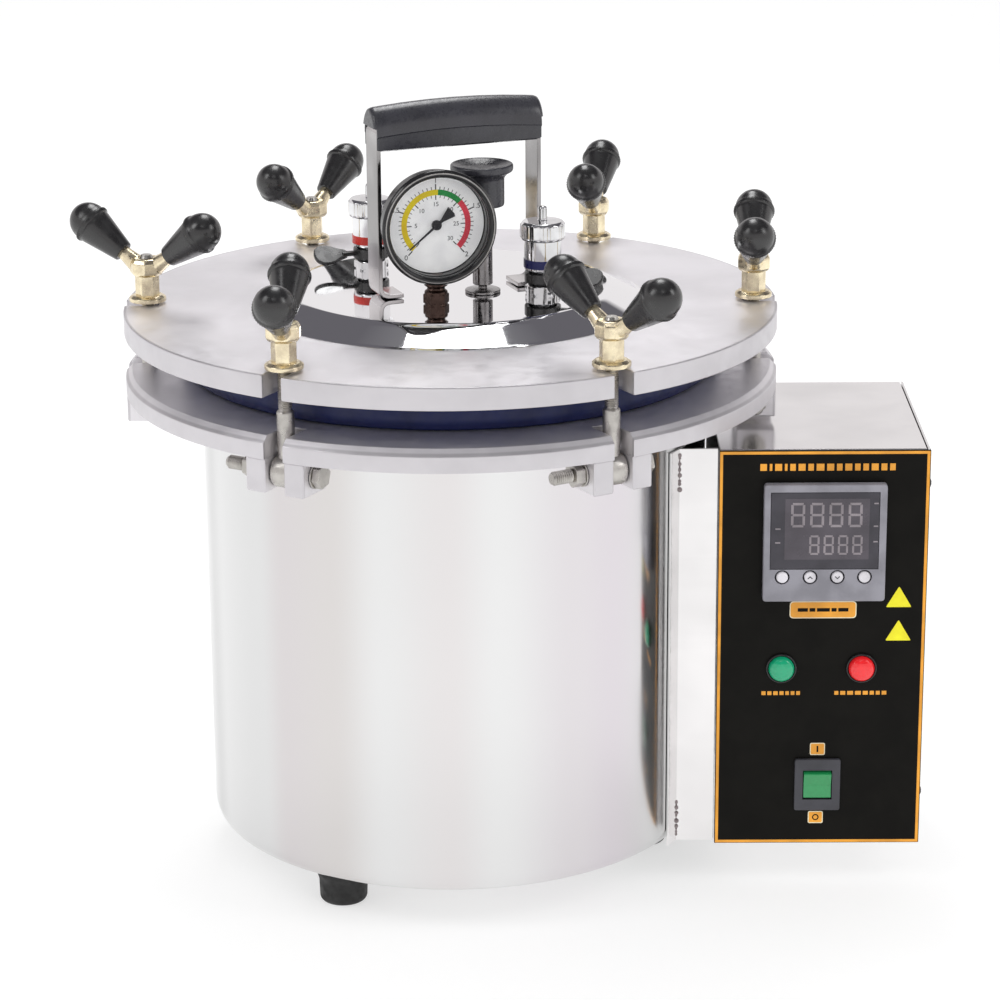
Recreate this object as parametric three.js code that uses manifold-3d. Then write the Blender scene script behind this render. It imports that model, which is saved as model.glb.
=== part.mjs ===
// Benchtop autoclave: a wing-nut steam steriliser with a control box at its side.
// Millimetres, +Z up. The vessel stands at x = VESSEL_X, y = VESSEL_Y; the front faces -Y.
import * as THREE from 'three';
import { mergeVertices } from 'three/addons/utils/BufferGeometryUtils.js';
import Module from 'manifold-3d';

const wasm = await Module();
wasm.setup();

// ---------------------------------------------------------------- driving dimensions
const VESSEL_X = -26.5, VESSEL_Y = 0;         // puts the whole part's footprint centre on the origin
const GAP = 0.3;                             // clearance between neighbouring pieces

const DRUM_R = 150, DRUM_WALL = 2.5, DRUM_BOTTOM = 25, DRUM_CORNER_R = 12;
const FLANGE_TOP = 310, FLANGE_T = 13.5, FLANGE_R = 195, FLANGE_CHAMFER = 4;
const LID_BOTTOM = 332, LID_T = 13.5, LID_R = 195, LID_CHAMFER = 1.2, LID_HOLE_R = 108;
const LID_TOP = LID_BOTTOM + LID_T;
const DOME_R = 118, DOME_H = 10, DOME_T = 1.6;
const GASKET_R = 161, GASKET_INNER_R = 150.6;

const CLAMPS = 6, CLAMP_PHASE = 0.6, BOLT_CIRCLE_R = 181.2;
const SLOT_W = 12.4, LID_SLOT_END_R = 174.5, FLANGE_SLOT_END_R = 170.6;
const LUG_W = 12.8, LUG_BOTTOM = 277, PIN_Z = 287.5, PIN_R = 4;
const SHANK_R = 5, THREAD_R = 4, SHANK_TOP = 323.5, BOLT_TOP = 375.4, EYE_R = 9.5, EYE_W = 11.6;
const NUT_LIFT = 1.5;                        // play under a wing nut, so that its bolt can swing out
const NUT_ARM_ANGLE = [86.5, 81, 237, 156.4, 87.4, 132.6]; // direction of each nut's arms, degrees
const KNOB_REACH = 38.5, KNOB_RISE = 45;     // knob centre from the nut's base

const FOOT_CIRCLE_R = 117, FOOT_PHASE = -4.5, FOOT_TOP_R = 16, FOOT_BASE_R = 14.2;

const BOX_X = 157.5, BOX_W = 123.6, BOX_Y = -72.6, BOX_D = 148, BOX_Z = 25, BOX_H = 248;
const SHEET = 1.5, PANEL_T = 2;
const PANEL_FRONT = BOX_Y - GAP - PANEL_T;

const HANDLE = { x: 3.2, y: -13, yaw: 21, half: 51, width: 20, strip: 2.5, top: 459.5, foot: 22 };
const GRIP = { bottom: 444, top: 471, depth: 24 };
const GAUGE = { x: -7.4, y: -47, z: 403, yaw: 15, r: 34, back: 7, front: 12, dialR: 29 };
const WEIGHT = { x: 19.5, y: -19.5 };
const VALVE_R = { x: 55, y: -23, lever: -12 };
const VALVE_L = { x: -49.2, y: 42.5, lever: 200 };

const CONTROLLER = { x: 62.2, z: 192.8, size: 72, body: 66.5, depth: 70, proud: 6 };
const KEYS = { x: [37.5, 53.9, 69.9, 85.9], z: 172.1, r: 3.4 };
const LAMPS = { green: [38.5, 113], red: [86.2, 113], lensR: 7.4, ringR: 9 };
const SWITCH = { x: 61.4, z: 38.7, w: 27.5, h: 33, tilt: 8 };

// ---------------------------------------------------------------- materials
const paint = (color, roughness, metalness, extra = {}) =>
  new THREE.MeshStandardMaterial({ color, roughness, metalness, ...extra });
const polished = paint(0xd9d4d3, 0.16, 1);
const mirror = paint(0xe4e4e6, 0.06, 1);
const satin = paint(0xc9c7c8, 0.42, 1);
const zinc = paint(0x9c9890, 0.4, 1);
const brass = paint(0xd9bd84, 0.24, 1);
const chrome = paint(0xcfd0d2, 0.12, 1);
const navyRubber = paint(0x0a1433, 0.55, 0);
const blackRubber = paint(0x151515, 0.7, 0);
const gripPlastic = paint(0x2b2b2e, 0.45, 0);
const glossBlack = paint(0x0d0d0f, 0.12, 0);
const panelBlack = paint(0x16140f, 0.38, 0);
const greyPlastic = paint(0x55565c, 0.5, 0);
const keyGrey = paint(0xd8d8d8, 0.45, 0);
const lcd = paint(0x5a5560, 0.15, 0);
const white = paint(0xf2f2f0, 0.6, 0);
const glass = paint(0xf4f6f8, 0.05, 0, { transparent: true, opacity: 0.25 });
const greenLens = paint(0x0f7a4a, 0.2, 0);
const redLens = paint(0xb0141c, 0.2, 0);
const sheathSteel = paint(0x6f6a66, 0.4, 1);

// ---------------------------------------------------------------- geometry helpers
const rad = THREE.MathUtils.degToRad;
const polar = (r, degrees) => [r * Math.cos(rad(degrees)), r * Math.sin(rad(degrees))];

// A closed three.js geometry as a manifold solid, facing outward.
function solid(geometry) {
  const bare = geometry.index ? geometry.toNonIndexed() : geometry.clone();
  for (const name of Object.keys(bare.attributes)) {
    if (name !== 'position') bare.deleteAttribute(name);
  }
  const merged = mergeVertices(bare, 1e-4);
  const p = merged.attributes.position, keep = [];
  const corner = [0, 1, 2].map(() => new THREE.Vector3());
  let volume = 0;
  for (let i = 0; i < merged.index.count; i += 3) {
    const t = [0, 1, 2].map((k) => merged.index.getX(i + k));
    if (t[0] === t[1] || t[1] === t[2] || t[2] === t[0]) continue;
    t.forEach((v, k) => corner[k].fromBufferAttribute(p, v));
    volume += corner[0].dot(corner[1].clone().cross(corner[2]));
    keep.push(t);
  }
  const triVerts = new Uint32Array(keep.flatMap((t) => (volume < 0 ? [t[0], t[2], t[1]] : t)));
  return new wasm.Manifold(
    new wasm.Mesh({ numProp: 3, vertProperties: new Float32Array(p.array), triVerts }));
}

function toGeometry(body) {
  const mesh = body.getMesh();
  const g = new THREE.BufferGeometry();
  g.setAttribute('position', new THREE.BufferAttribute(new Float32Array(mesh.vertProperties), 3));
  g.setIndex(new THREE.BufferAttribute(new Uint32Array(mesh.triVerts), 1));
  g.computeVertexNormals();
  return g;
}

// [r, z] pairs revolved about Z.
const revolve = (profile, segments = 24) => solid(
  new THREE.LatheGeometry(profile.map(([r, z]) => new THREE.Vector2(r, z)), segments)
    .rotateX(Math.PI / 2));
const ring = (rIn, rOut, z0, z1, segments) => revolve(
  [[rIn, z0], [rOut, z0], [rOut, z1], [rIn, z1], [rIn, z0]], segments);
const cylinder = (r, z0, z1, segments = 16, rTop = r) => revolve(
  [[0, z0], [r, z0], [rTop, z1], [0, z1]], segments);
const block = (x0, x1, y0, y1, z0, z1) => solid(
  new THREE.BoxGeometry(x1 - x0, y1 - y0, z1 - z0)
    .translate((x0 + x1) / 2, (y0 + y1) / 2, (z0 + z1) / 2));
// A closed [x, y] outline raised along Z.
const prism = (outline, z0, z1) => solid(
  new THREE.ExtrudeGeometry(new THREE.Shape(outline.map(([x, y]) => new THREE.Vector2(x, y))),
    { depth: z1 - z0, bevelEnabled: false }).translate(0, 0, z0));
const join = (first, ...rest) => rest.reduce((a, b) => a.add(b), first);
const cut = (first, ...rest) => rest.reduce((a, b) => a.subtract(b), first);
// Stands a +Z solid up along another axis.
const alongX = (body) => body.rotate([0, 90, 0]);
const alongY = (body) => body.rotate([-90, 0, 0]);
const atAngle = (body, degrees) => body.rotate([0, 0, degrees]);

const autoclave = new THREE.Group();
autoclave.name = 'benchtop_autoclave';
const vessel = new THREE.Group();
vessel.position.set(VESSEL_X, VESSEL_Y, 0);
autoclave.add(vessel);

function add(name, body, material) {
  const mesh = new THREE.Mesh(toGeometry(body), material);
  mesh.name = name;
  vessel.add(mesh);
}

const clampAngles = Array.from({ length: CLAMPS }, (_, i) => CLAMP_PHASE + (i * 360) / CLAMPS);

// ---------------------------------------------------------------- drum, flange, gasket, feet
const c = DRUM_CORNER_R, w = DRUM_WALL, b = DRUM_BOTTOM;
const quarter = (cx, cz, r, from, to, steps = 2) => Array.from({ length: steps + 1 }, (_, i) => {
  const [x, z] = polar(r, from + ((to - from) * i) / steps);
  return [cx + x, cz + z];
});
add('vessel_drum', revolve([
  [0, b], ...quarter(DRUM_R - c, b + c, c, -90, 0), [DRUM_R, FLANGE_TOP - GAP],
  [DRUM_R - w, FLANGE_TOP - GAP], ...quarter(DRUM_R - c, b + c, c - w, 0, -90), [0, b + w],
], 48), polished);

function flange() {
  let body = revolve([
    [DRUM_R + GAP, FLANGE_TOP - FLANGE_T], [FLANGE_R, FLANGE_TOP - FLANGE_T],
    [FLANGE_R, FLANGE_TOP - FLANGE_CHAMFER], [FLANGE_R - FLANGE_CHAMFER, FLANGE_TOP],
    [DRUM_R + GAP, FLANGE_TOP], [DRUM_R + GAP, FLANGE_TOP - FLANGE_T],
  ], 72);
  const half = SLOT_W / 2, underside = FLANGE_TOP - FLANGE_T;
  for (const a of clampAngles) {
    body = body.subtract(atAngle(
      block(FLANGE_SLOT_END_R, FLANGE_R + 5, -half, half, underside - 5, FLANGE_TOP + 5), a));
  }
  const pinHole = cylinder(PIN_R + 0.35, -40, 40, 12).rotate([90, 0, 0])
    .translate([BOLT_CIRCLE_R, 0, PIN_Z]);
  for (const a of clampAngles) {
    for (const side of [-1, 1]) {
      const lug = block(FLANGE_SLOT_END_R, FLANGE_R - 0.6, Math.min(side * half, side * (half + LUG_W)),
        Math.max(side * half, side * (half + LUG_W)), LUG_BOTTOM, underside + 2);
      const trimmed = cut(lug, pinHole, ring(FLANGE_R - 0.2, FLANGE_R + 10, LUG_BOTTOM - 1,
        underside + 3, 72).rotate([0, 0, -a]));
      body = body.add(atAngle(trimmed, a));
    }
  }
  return body;
}
add('body_flange', flange(), satin);
add('lid_gasket', ring(GASKET_INNER_R, GASKET_R, FLANGE_TOP + GAP, LID_BOTTOM - GAP, 40),
  navyRubber);
for (let i = 0; i < 3; i++) {
  const [x, y] = polar(FOOT_CIRCLE_R, FOOT_PHASE + 120 * i);
  add(`foot_${i + 1}`, revolve([[0, 0], [FOOT_BASE_R - 1, 0], [FOOT_BASE_R, 1],
    [FOOT_TOP_R, DRUM_BOTTOM - GAP], [0, DRUM_BOTTOM - GAP]], 20).translate([x, y, 0]), blackRubber);
}

// ---------------------------------------------------------------- inside the chamber
const HEATER_R = 92, HEATER_Z = 44, RACK_Z = 66, BASKET_R = 136;
const INNER_REACH = DRUM_R - DRUM_WALL - 1;
add('heating_element', join(
  solid(new THREE.TorusGeometry(HEATER_R, 4.2, 6, 24)).translate([0, 0, HEATER_Z]),
  ...[-16, 16].map((y) => alongX(cylinder(4.2, HEATER_R - 2, INNER_REACH - 1, 8))
    .translate([0, y, HEATER_Z])),
), sheathSteel);
add('sensor_probe', join(
  alongX(cylinder(3, 112, INNER_REACH - 0.5, 10)),
  alongX(cylinder(5, INNER_REACH - 6, INNER_REACH - 0.5, 6)),
).translate([0, 0, 57]).rotate([0, 0, 14]), sheathSteel);
function rack() {
  let plate = cylinder(BASKET_R + 4, RACK_Z, RACK_Z + 2, 28);
  for (let i = 0; i < 7; i++) {
    const [x, y] = i ? polar(80, 60 * i) : [0, 0];
    plate = plate.subtract(cylinder(17, RACK_Z - 1, RACK_Z + 3, 8).translate([x, y, 0]));
  }
  for (let i = 0; i < 3; i++) {
    const [x, y] = polar(118, 30 + 120 * i);
    const leg = cylinder(4, DRUM_BOTTOM + DRUM_WALL + GAP, RACK_Z + 0.5, 10);
    plate = plate.add(leg.translate([x, y, 0]));
  }
  return plate;
}
add('rack', rack(), satin);
const BASKET_BOTTOM = RACK_Z + 2 + GAP, BASKET_TOP = 292;
function basket() {
  let cup = revolve([[0, BASKET_BOTTOM], [BASKET_R, BASKET_BOTTOM], [BASKET_R, BASKET_TOP],
    [BASKET_R - 1.5, BASKET_TOP], [BASKET_R - 1.5, BASKET_BOTTOM + 1.5], [0, BASKET_BOTTOM + 1.5]],
  28);
  for (let i = 0; i < 7; i++) {
    const [x, y] = i ? polar(80, 60 * i) : [0, 0];
    cup = cup.subtract(cylinder(12, BASKET_BOTTOM - 1, BASKET_BOTTOM + 3, 8).translate([x, y, 0]));
  }
  return cup;
}
add('basket', basket(), satin);

// ---------------------------------------------------------------- lid
function lidPlate() {
  let body = revolve([[LID_HOLE_R, LID_BOTTOM], [LID_R, LID_BOTTOM], [LID_R, LID_TOP - LID_CHAMFER],
    [LID_R - LID_CHAMFER, LID_TOP], [LID_HOLE_R, LID_TOP], [LID_HOLE_R, LID_BOTTOM]], 72);
  for (const a of clampAngles) {
    body = body.subtract(atAngle(
      block(LID_SLOT_END_R, LID_R + 5, -SLOT_W / 2, SLOT_W / 2, LID_BOTTOM - 5, LID_TOP + 5), a));
  }
  return body;
}
add('lid_plate', lidPlate(), satin);

const domeZ = (r) => LID_TOP + GAP + DOME_T + (DOME_H - DOME_T) * (1 - (r / DOME_R) ** 9);
const domeTop = ({ x, y }) => domeZ(Math.max(0, Math.hypot(x, y) - 12)) + GAP;
const SPIGOTS = [[GAUGE, 5], [WEIGHT, 2.4], [VALVE_R, 5], [VALVE_L, 5]]; // place, radius
function dome() {
  const steps = [0, 60, 92, 104, 113];
  const outside = [...steps.map((r) => [r, domeZ(r)]), [DOME_R, LID_TOP + GAP + DOME_T]];
  const inside = steps.slice().reverse().map((r) => [r, Math.max(domeZ(r) - DOME_T, LID_TOP + GAP)]);
  const body = revolve([...outside, [DOME_R, LID_TOP + GAP], ...inside], 40);
  return cut(body, ...SPIGOTS.map(([p, r]) =>
    cylinder(r + GAP, LID_TOP, LID_TOP + 30, 12).translate([p.x, p.y, 0])));
}
add('lid_dome', dome(), mirror);

// ---------------------------------------------------------------- clamps
const outward = (body, i) => atAngle(body.translate([BOLT_CIRCLE_R, 0, 0]), clampAngles[i]);
function swingBolt() {
  const eye = cylinder(EYE_R, -EYE_W / 2, EYE_W / 2, 18).rotate([90, 0, 0]).translate([0, 0, PIN_Z]);
  const bore = cylinder(PIN_R + 0.5, -10, 10, 12).rotate([90, 0, 0]).translate([0, 0, PIN_Z]);
  const rod = revolve([[0, PIN_Z], [SHANK_R, PIN_Z], [SHANK_R, SHANK_TOP - 1], [THREAD_R, SHANK_TOP],
    [THREAD_R, BOLT_TOP], [0, BOLT_TOP]], 10);
  return cut(join(eye, rod), bore);
}
function pivotBolt() {
  const face = SLOT_W / 2 + LUG_W + GAP;
  return join(
    cylinder(PIN_R, -face - 20, face + 0.5, 12),
    cylinder(7.6, face, face + 5.5, 6),
    cylinder(7.6, -face - 7, -face, 6),
  ).rotate([-90, 0, 0]).translate([0, 0, PIN_Z]);
}
function wingNut(armAngle) {
  const base = LID_TOP + NUT_LIFT;
  const hub = revolve([[0, 0], [11, 0], [11, 3.2], [6.4, 4], [6.4, 15], [9.5, 17], [9.5, 27],
    [0, 27]], 12);
  const slope = Math.atan2(KNOB_RISE - 20, KNOB_REACH - 4);
  const arm = cylinder(4, 3, 20, 7);
  const knob = revolve([[0, 14], [6.4, 14], [11.9, 39], [12.2, 43], [9.6, 50], [0, 54.4]], 10);
  const side = join(arm, knob).rotate([0, 90 - THREE.MathUtils.radToDeg(slope), 0])
    .translate([4, 0, 20]);
  const whole = join(hub, side, side.rotate([0, 0, 180]));
  return cut(whole, cylinder(THREAD_R + GAP, -1, 30, 10)).rotate([0, 0, armAngle])
    .translate([0, 0, base]);
}
for (let i = 0; i < CLAMPS; i++) {
  add(`swing_bolt_${i + 1}`, outward(swingBolt(), i), zinc);
  add(`pivot_bolt_${i + 1}`, outward(pivotBolt(), i), zinc);
  add(`wing_nut_${i + 1}`, outward(wingNut(NUT_ARM_ANGLE[i] - clampAngles[i]), i), brass);
}

// ---------------------------------------------------------------- lid handle
const atHandle = (body) => body.rotate([0, 0, HANDLE.yaw]).translate([HANDLE.x, HANDLE.y, 0]);
function handleBracket() {
  const { half, strip: t, width: d, top, foot } = HANDLE;
  const seat = domeZ(0) + GAP;
  const frame = block(-half, half, -d / 2, d / 2, seat, top);
  const inner = block(-half + t, half - t, -d, d, seat + t, top - t);
  const opening = block(-half + t + foot, half - t - foot, -d, d, seat - 1, seat + t + 1);
  return atHandle(cut(frame, inner, opening));
}
function handleGrip() {
  const { half, strip: t, width, top } = HANDLE;
  const h = GRIP.depth / 2, crown = GRIP.top;
  const section = [[-h + 2, GRIP.bottom], [h - 2, GRIP.bottom], [h, GRIP.bottom + 3],
    [h, crown - 11], [h - 2.5, crown - 5], [h - 7, crown - 1.2], [0, crown], [-h + 7, crown - 1.2],
    [-h + 2.5, crown - 5], [-h, crown - 11], [-h, GRIP.bottom + 3]];
  const bar = prism(section, -half - 1.5, half + 1.5).rotate([90, 0, 0]).rotate([0, 0, 90]);
  const slot = block(-half - 5, half + 5, -width / 2 - GAP, width / 2 + GAP,
    top - t - GAP, top + GAP);
  const ends = [-1, 1].map((s) => block(s > 0 ? half - t - GAP : -half - 9,
    s > 0 ? half + 9 : -half + t + GAP, -40, 40, GRIP.bottom - 5, top + GAP));
  return atHandle(cut(bar, slot, ...ends));
}
add('handle_bracket', handleBracket(), chrome);
add('handle_grip', handleGrip(), gripPlastic);

// ---------------------------------------------------------------- pressure gauge
// Built face up about Z, then stood upright to face -Y and turned.
const atGauge = (body) => body.rotate([90, 0, 0]).rotate([0, 0, GAUGE.yaw])
  .translate([GAUGE.x, GAUGE.y, GAUGE.z]);
const { r: gr, back, front, dialR } = GAUGE;
const stem = join(cylinder(5, LID_TOP - 4, GAUGE.z - 20, 12),
  cylinder(8.2, domeTop(GAUGE), domeTop(GAUGE) + 7, 6)).translate([GAUGE.x, GAUGE.y, 0]);
add('gauge_case', cut(atGauge(revolve([[0, -back], [gr - 6, -back], [gr - 3, -back + 2],
  [gr - 3, front - 3], [gr - 5, front - 3], [gr - 5, 1], [0, 1]], 24)).add(
  cut(stem, atGauge(cylinder(gr - 5, 0.5, front, 24)))),
), glossBlack);
add('gauge_bezel', atGauge(revolve([[gr - 4.6, front - 2.7], [gr, front - 2.7], [gr, front],
  [gr - 1.5, front + 1.5], [gr - 4.6, front + 1.5], [gr - 4.6, front - 2.7]], 28)), glossBlack);
add('gauge_dial', atGauge(cylinder(dialR - 0.4, 1.3, 2.1, 24)), white);
function needle() {
  const shape = [[-0.7, 0], [-0.5, 23], [0.5, 23], [0.7, 0], [1.2, -4], [3, -11], [-3, -11],
    [-1.2, -4]];
  return join(prism(shape, 4, 4.6), cylinder(2.6, 2.6, 5.4, 12)).rotate([0, 0, 130]);
}
add('gauge_needle', atGauge(needle()), glossBlack);
add('gauge_glass', atGauge(cylinder(dialR - 0.4, front - 2, front - 0.6, 24)), glass);

// ---------------------------------------------------------------- valves on the dome
const upon = (body, p) => body.translate([p.x, p.y, domeTop(p)]);
add('weight_valve_nozzle', upon(revolve([[0, -8], [2.4, -8], [2.4, 0], [10.5, 0], [10.5, 1.6],
  [2.4, 1.8], [2.4, 4.2], [5.9, 4.8], [5.9, 31], [3, 33.5], [3, 58], [0, 60]], 14), WEIGHT), zinc);
add('weight_valve_weight', revolve([[6.4, 408], [13.2, 408], [13.2, 426], [16.8, 428], [18.3, 429.6],
  [18.1, 433], [0, 433], [0, 418], [3.4, 416], [3.4, 411], [6.4, 408]], 16)
  .translate([WEIGHT.x, WEIGHT.y, 0]), gripPlastic);
const valveBody = () => revolve([[0, -8], [5, -8], [5, 0], [9.6, 0], [9.6, 5], [8, 6], [8, 13.4],
  [11, 14.2], [11, 31], [13.4, 31.5], [13.4, 42.6], [3, 43.5], [3, 51.4], [0, 52]], 14);
// A collar that turns round the body's waist, with a spoon-shaped finger piece.
function valveLever(angle) {
  const collar = ring(8.5, 10.8, 6.6, 12.8, 14);
  const spoon = prism([[9.5, -2.4], [17, -3], [24, -6], [31, -6.6], [35, -4], [36.4, 0], [35, 4],
    [31, 6.6], [24, 6], [17, 3], [9.5, 2.4]], 8, 11);
  return join(collar, spoon).rotate([0, 0, angle]);
}
add('steam_valve_body', upon(valveBody(), VALVE_R), chrome);
add('steam_valve_lever', upon(valveLever(VALVE_R.lever), VALVE_R), glossBlack);
add('safety_valve_body', upon(valveBody(), VALVE_L), chrome);
add('safety_valve_lever', upon(valveLever(VALVE_L.lever), VALVE_L), glossBlack);

// ---------------------------------------------------------------- control box
const x1 = BOX_X + BOX_W, y1 = BOX_Y + BOX_D, z1 = BOX_Z + BOX_H;
const coverX = x1 - SHEET;
const GLAND = { x: 246, z: 58 };
add('box_shell', cut(
  block(BOX_X, coverX - GAP, BOX_Y, y1, BOX_Z, z1),
  block(BOX_X + SHEET, x1 + 5, BOX_Y - 5, y1 - SHEET, BOX_Z + SHEET, z1 - SHEET),
  alongY(cylinder(6.4, -5, 5, 14)).translate([GLAND.x, y1, GLAND.z]),
), polished);
add('box_side_cover', block(coverX, x1, BOX_Y, y1, BOX_Z, z1), polished);

const onPanel = (x, z) => [BOX_X + x, PANEL_FRONT, BOX_Z + z];
const panelHole = (x, z, wide, high) => block(BOX_X + x - wide / 2, BOX_X + x + wide / 2,
  PANEL_FRONT - 3, BOX_Y + 3, BOX_Z + z - high / 2, BOX_Z + z + high / 2);
const faceCylinder = (r, from, to, segments = 16, rEnd = r) =>
  cylinder(r, from, to, segments, rEnd).rotate([90, 0, 0]);
add('front_panel', cut(
  block(BOX_X, x1, PANEL_FRONT, BOX_Y - GAP, BOX_Z, z1),
  panelHole(CONTROLLER.x, CONTROLLER.z, CONTROLLER.body + 1, CONTROLLER.body + 1),
  panelHole(SWITCH.x, SWITCH.z, 23, 29),
  ...[LAMPS.green, LAMPS.red].map(([x, z]) => faceCylinder(7, -6, 6).translate(onPanel(x, z))),
), panelBlack);

function bracket() {
  const yPlate = -BOX_Y - 2.5, rIn = DRUM_R + GAP, rOut = rIn + 1.5;
  const reach = THREE.MathUtils.radToDeg(Math.asin(yPlate / rOut)) + 4;
  const arc = (r, from, to) => Array.from({ length: 13 }, (_, i) => polar(r, from + (i * (to - from)) / 12));
  const saddle = prism([...arc(rOut, -reach, reach), ...arc(rIn, reach, -reach)], BOX_Z, z1);
  const xDrum = Math.sqrt(rOut ** 2 - yPlate ** 2) - 1.2;
  const plates = [-1, 1].map((s) => block(xDrum, BOX_X - GAP, Math.min(s * yPlate, s * (yPlate - 1.5)),
    Math.max(s * yPlate, s * (yPlate - 1.5)), BOX_Z, z1));
  return join(saddle, ...plates);
}
add('mounting_bracket', bracket(), polished);

function controller() {
  const { size: s, body, depth, proud } = CONTROLLER;
  const at = onPanel(CONTROLLER.x, CONTROLLER.z);
  const bezel = block(-s / 2, s / 2, -proud - GAP, -GAP, -s / 2, s / 2);
  const housing = block(-body / 2, body / 2, -GAP - 1, depth, -body / 2, body / 2);
  const pocket = block(-31.7, 31.2 + 0.9, -proud - 2, -proud - GAP + 1.4, -15.5, 31.2);
  const wells = KEYS.x.map((x) => faceCylinder(KEYS.r + GAP, proud - 4, proud + 3)
    .translate([x - CONTROLLER.x, 0, KEYS.z - CONTROLLER.z]));
  return cut(join(bezel, housing), pocket, ...wells).translate(at);
}
add('controller_body', controller(), greyPlastic);
add('controller_window', block(-31.4, 31.8, -CONTROLLER.proud - GAP, -CONTROLLER.proud + 0.8, -15.2, 30.9)
  .translate(onPanel(CONTROLLER.x, CONTROLLER.z)), lcd);
KEYS.x.forEach((x, i) => add(`key_${i + 1}`,
  faceCylinder(KEYS.r, CONTROLLER.proud - 2.6, CONTROLLER.proud + 1.3, 14).translate(onPanel(x, KEYS.z)),
  keyGrey));

const lamp = () => revolve([[0, -20], [6.6, -20], [6.6, 0.3], [LAMPS.ringR, 0.3],
  [LAMPS.ringR, 2], [LAMPS.lensR, 2.6], [LAMPS.lensR - 0.4, 4.2], [5, 6], [0, 6.8]], 20)
  .rotate([90, 0, 0]);
add('process_lamp', lamp().translate(onPanel(...LAMPS.green)), greenLens);
add('low_water_lamp', lamp().translate(onPanel(...LAMPS.red)), redLens);

const PIVOT_OUT = 0.6;                       // rocker pivot in front of the panel face
add('switch_frame', cut(
  join(block(-SWITCH.w / 2, SWITCH.w / 2, -2.6, -GAP, -SWITCH.h / 2, SWITCH.h / 2),
    block(-11, 11, -1, 22, -14, 14)),
  block(-8.8, 8.8, -5, 12, -9.4, 9.4),
).translate(onPanel(SWITCH.x, SWITCH.z)), gripPlastic);
const rockerSide = [[-8.2, 3.2], [0, 1.5], [8.2, 3.2], [8.2, -3], [-8.2, -3]];
add('switch_rocker', prism(rockerSide.map(([v, out]) => [-out, v]), -8.3, 8.3)
  .rotate([90, 0, 0]).rotate([0, 0, 90]).rotate([SWITCH.tilt, 0, 0])
  .translate([0, -PIVOT_OUT, 0]).translate(onPanel(SWITCH.x, SWITCH.z)), greenLens);

add('mains_gland', cut(join(
  alongY(cylinder(6, -7, 18, 14)), alongY(cylinder(10.5, GAP, 6.5, 6)),
  alongY(cylinder(9, 6, 15, 14, 7.5)), alongY(cylinder(10, -SHEET - GAP - 4.5, -SHEET - GAP, 6)),
), alongY(cylinder(3.6, -12, 25, 12))).translate([GLAND.x, y1, GLAND.z]), blackRubber);
add('power_relay', block(178, 226, y1 - SHEET - GAP - 30, y1 - SHEET - GAP, 110, 170), greyPlastic);

export default autoclave;
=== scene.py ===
"""The looks of a benchtop autoclave: polished drum, clamped lid with gauge and valves, side control box.

Shapes are made in millimetres in the vessel's own frame (Z along the drum's axis, front facing -Y) and
scaled to metres in the row frame by piece().
"""

import math

import bmesh
import bpy
from mathutils import Matrix, Vector

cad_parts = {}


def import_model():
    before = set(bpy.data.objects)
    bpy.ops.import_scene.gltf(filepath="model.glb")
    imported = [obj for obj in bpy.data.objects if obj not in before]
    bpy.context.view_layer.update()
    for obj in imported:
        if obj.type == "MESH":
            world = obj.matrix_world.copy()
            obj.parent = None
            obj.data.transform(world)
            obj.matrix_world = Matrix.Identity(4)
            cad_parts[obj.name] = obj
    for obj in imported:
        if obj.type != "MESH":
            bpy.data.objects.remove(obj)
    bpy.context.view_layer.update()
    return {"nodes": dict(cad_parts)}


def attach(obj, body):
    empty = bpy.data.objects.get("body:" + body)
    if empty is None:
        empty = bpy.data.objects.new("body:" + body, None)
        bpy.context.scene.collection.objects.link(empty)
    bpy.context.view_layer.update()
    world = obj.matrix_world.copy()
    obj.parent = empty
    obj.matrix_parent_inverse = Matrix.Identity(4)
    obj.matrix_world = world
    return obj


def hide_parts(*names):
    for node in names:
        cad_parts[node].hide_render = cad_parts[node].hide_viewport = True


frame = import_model()
NODES = frame["nodes"]

# ---------------- driving sizes, millimetres
VESSEL_X = -26.5
ROW = Matrix.Translation((VESSEL_X / 1000, 0, 0)) @ Matrix.Scale(0.001, 4)

DRUM_R, DRUM_WALL, DRUM_BOTTOM = 150, 2.5, 25
FLANGE_TOP, FLANGE_T, FLANGE_R, FLANGE_CHAMFER = 310, 13.5, 195, 4
LID_BOTTOM, LID_TOP, LID_R, LID_HOLE_R = 332, 345.5, 195, 108
DOME_R, DOME_BASE, DOME_RISE, DOME_T = 118, 345.8, 10, 1.6
DOME_TOP = DOME_BASE + DOME_RISE
GASKET_R, GASKET_INNER_R = 161, 150.6
CLAMPS, CLAMP_PHASE, BOLT_CIRCLE_R = 6, 0.6, 181.2
SLOT_W, LID_SLOT_END_R, FLANGE_SLOT_END_R = 12.4, 174.5, 170.6
LUG_W, LUG_BOTTOM, PIN_Z, PIN_R = 12.8, 277, 287.5, 4
SHANK_R, THREAD_R, SHANK_TOP, BOLT_TOP, EYE_R, EYE_W = 5, 4, 323.5, 375.4, 9.5, 11.6
NUT_BASE = LID_TOP + 1.5
NUT_ARM_ANGLE = [86.5, 81, 237, 156.4, 87.4, 132.6]
FOOT_CIRCLE_R, FOOT_PHASE, FOOT_TOP_R, FOOT_BASE_R = 117, -4.5, 16, 14.2
BOX_X, BOX_W, BOX_Y, BOX_D, BOX_Z, BOX_H = 157.5, 123.6, -72.6, 148, 25, 248
SHEET = 1.5
PANEL_FRONT = BOX_Y - 2.3
HANDLE = {"x": 3.2, "y": -13, "yaw": 21, "half": 51, "width": 20, "strip": 2.5, "top": 459.5, "foot": 22}
GRIP_BOTTOM, GRIP_TOP, GRIP_HALF_DEPTH = 444, 471, 12
GAUGE = {"x": -7.4, "y": -47, "z": 403, "yaw": 15, "r": 34, "back": 7, "front": 12, "dial_r": 29}
WEIGHT_AT = (19.5, -19.5)
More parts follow.
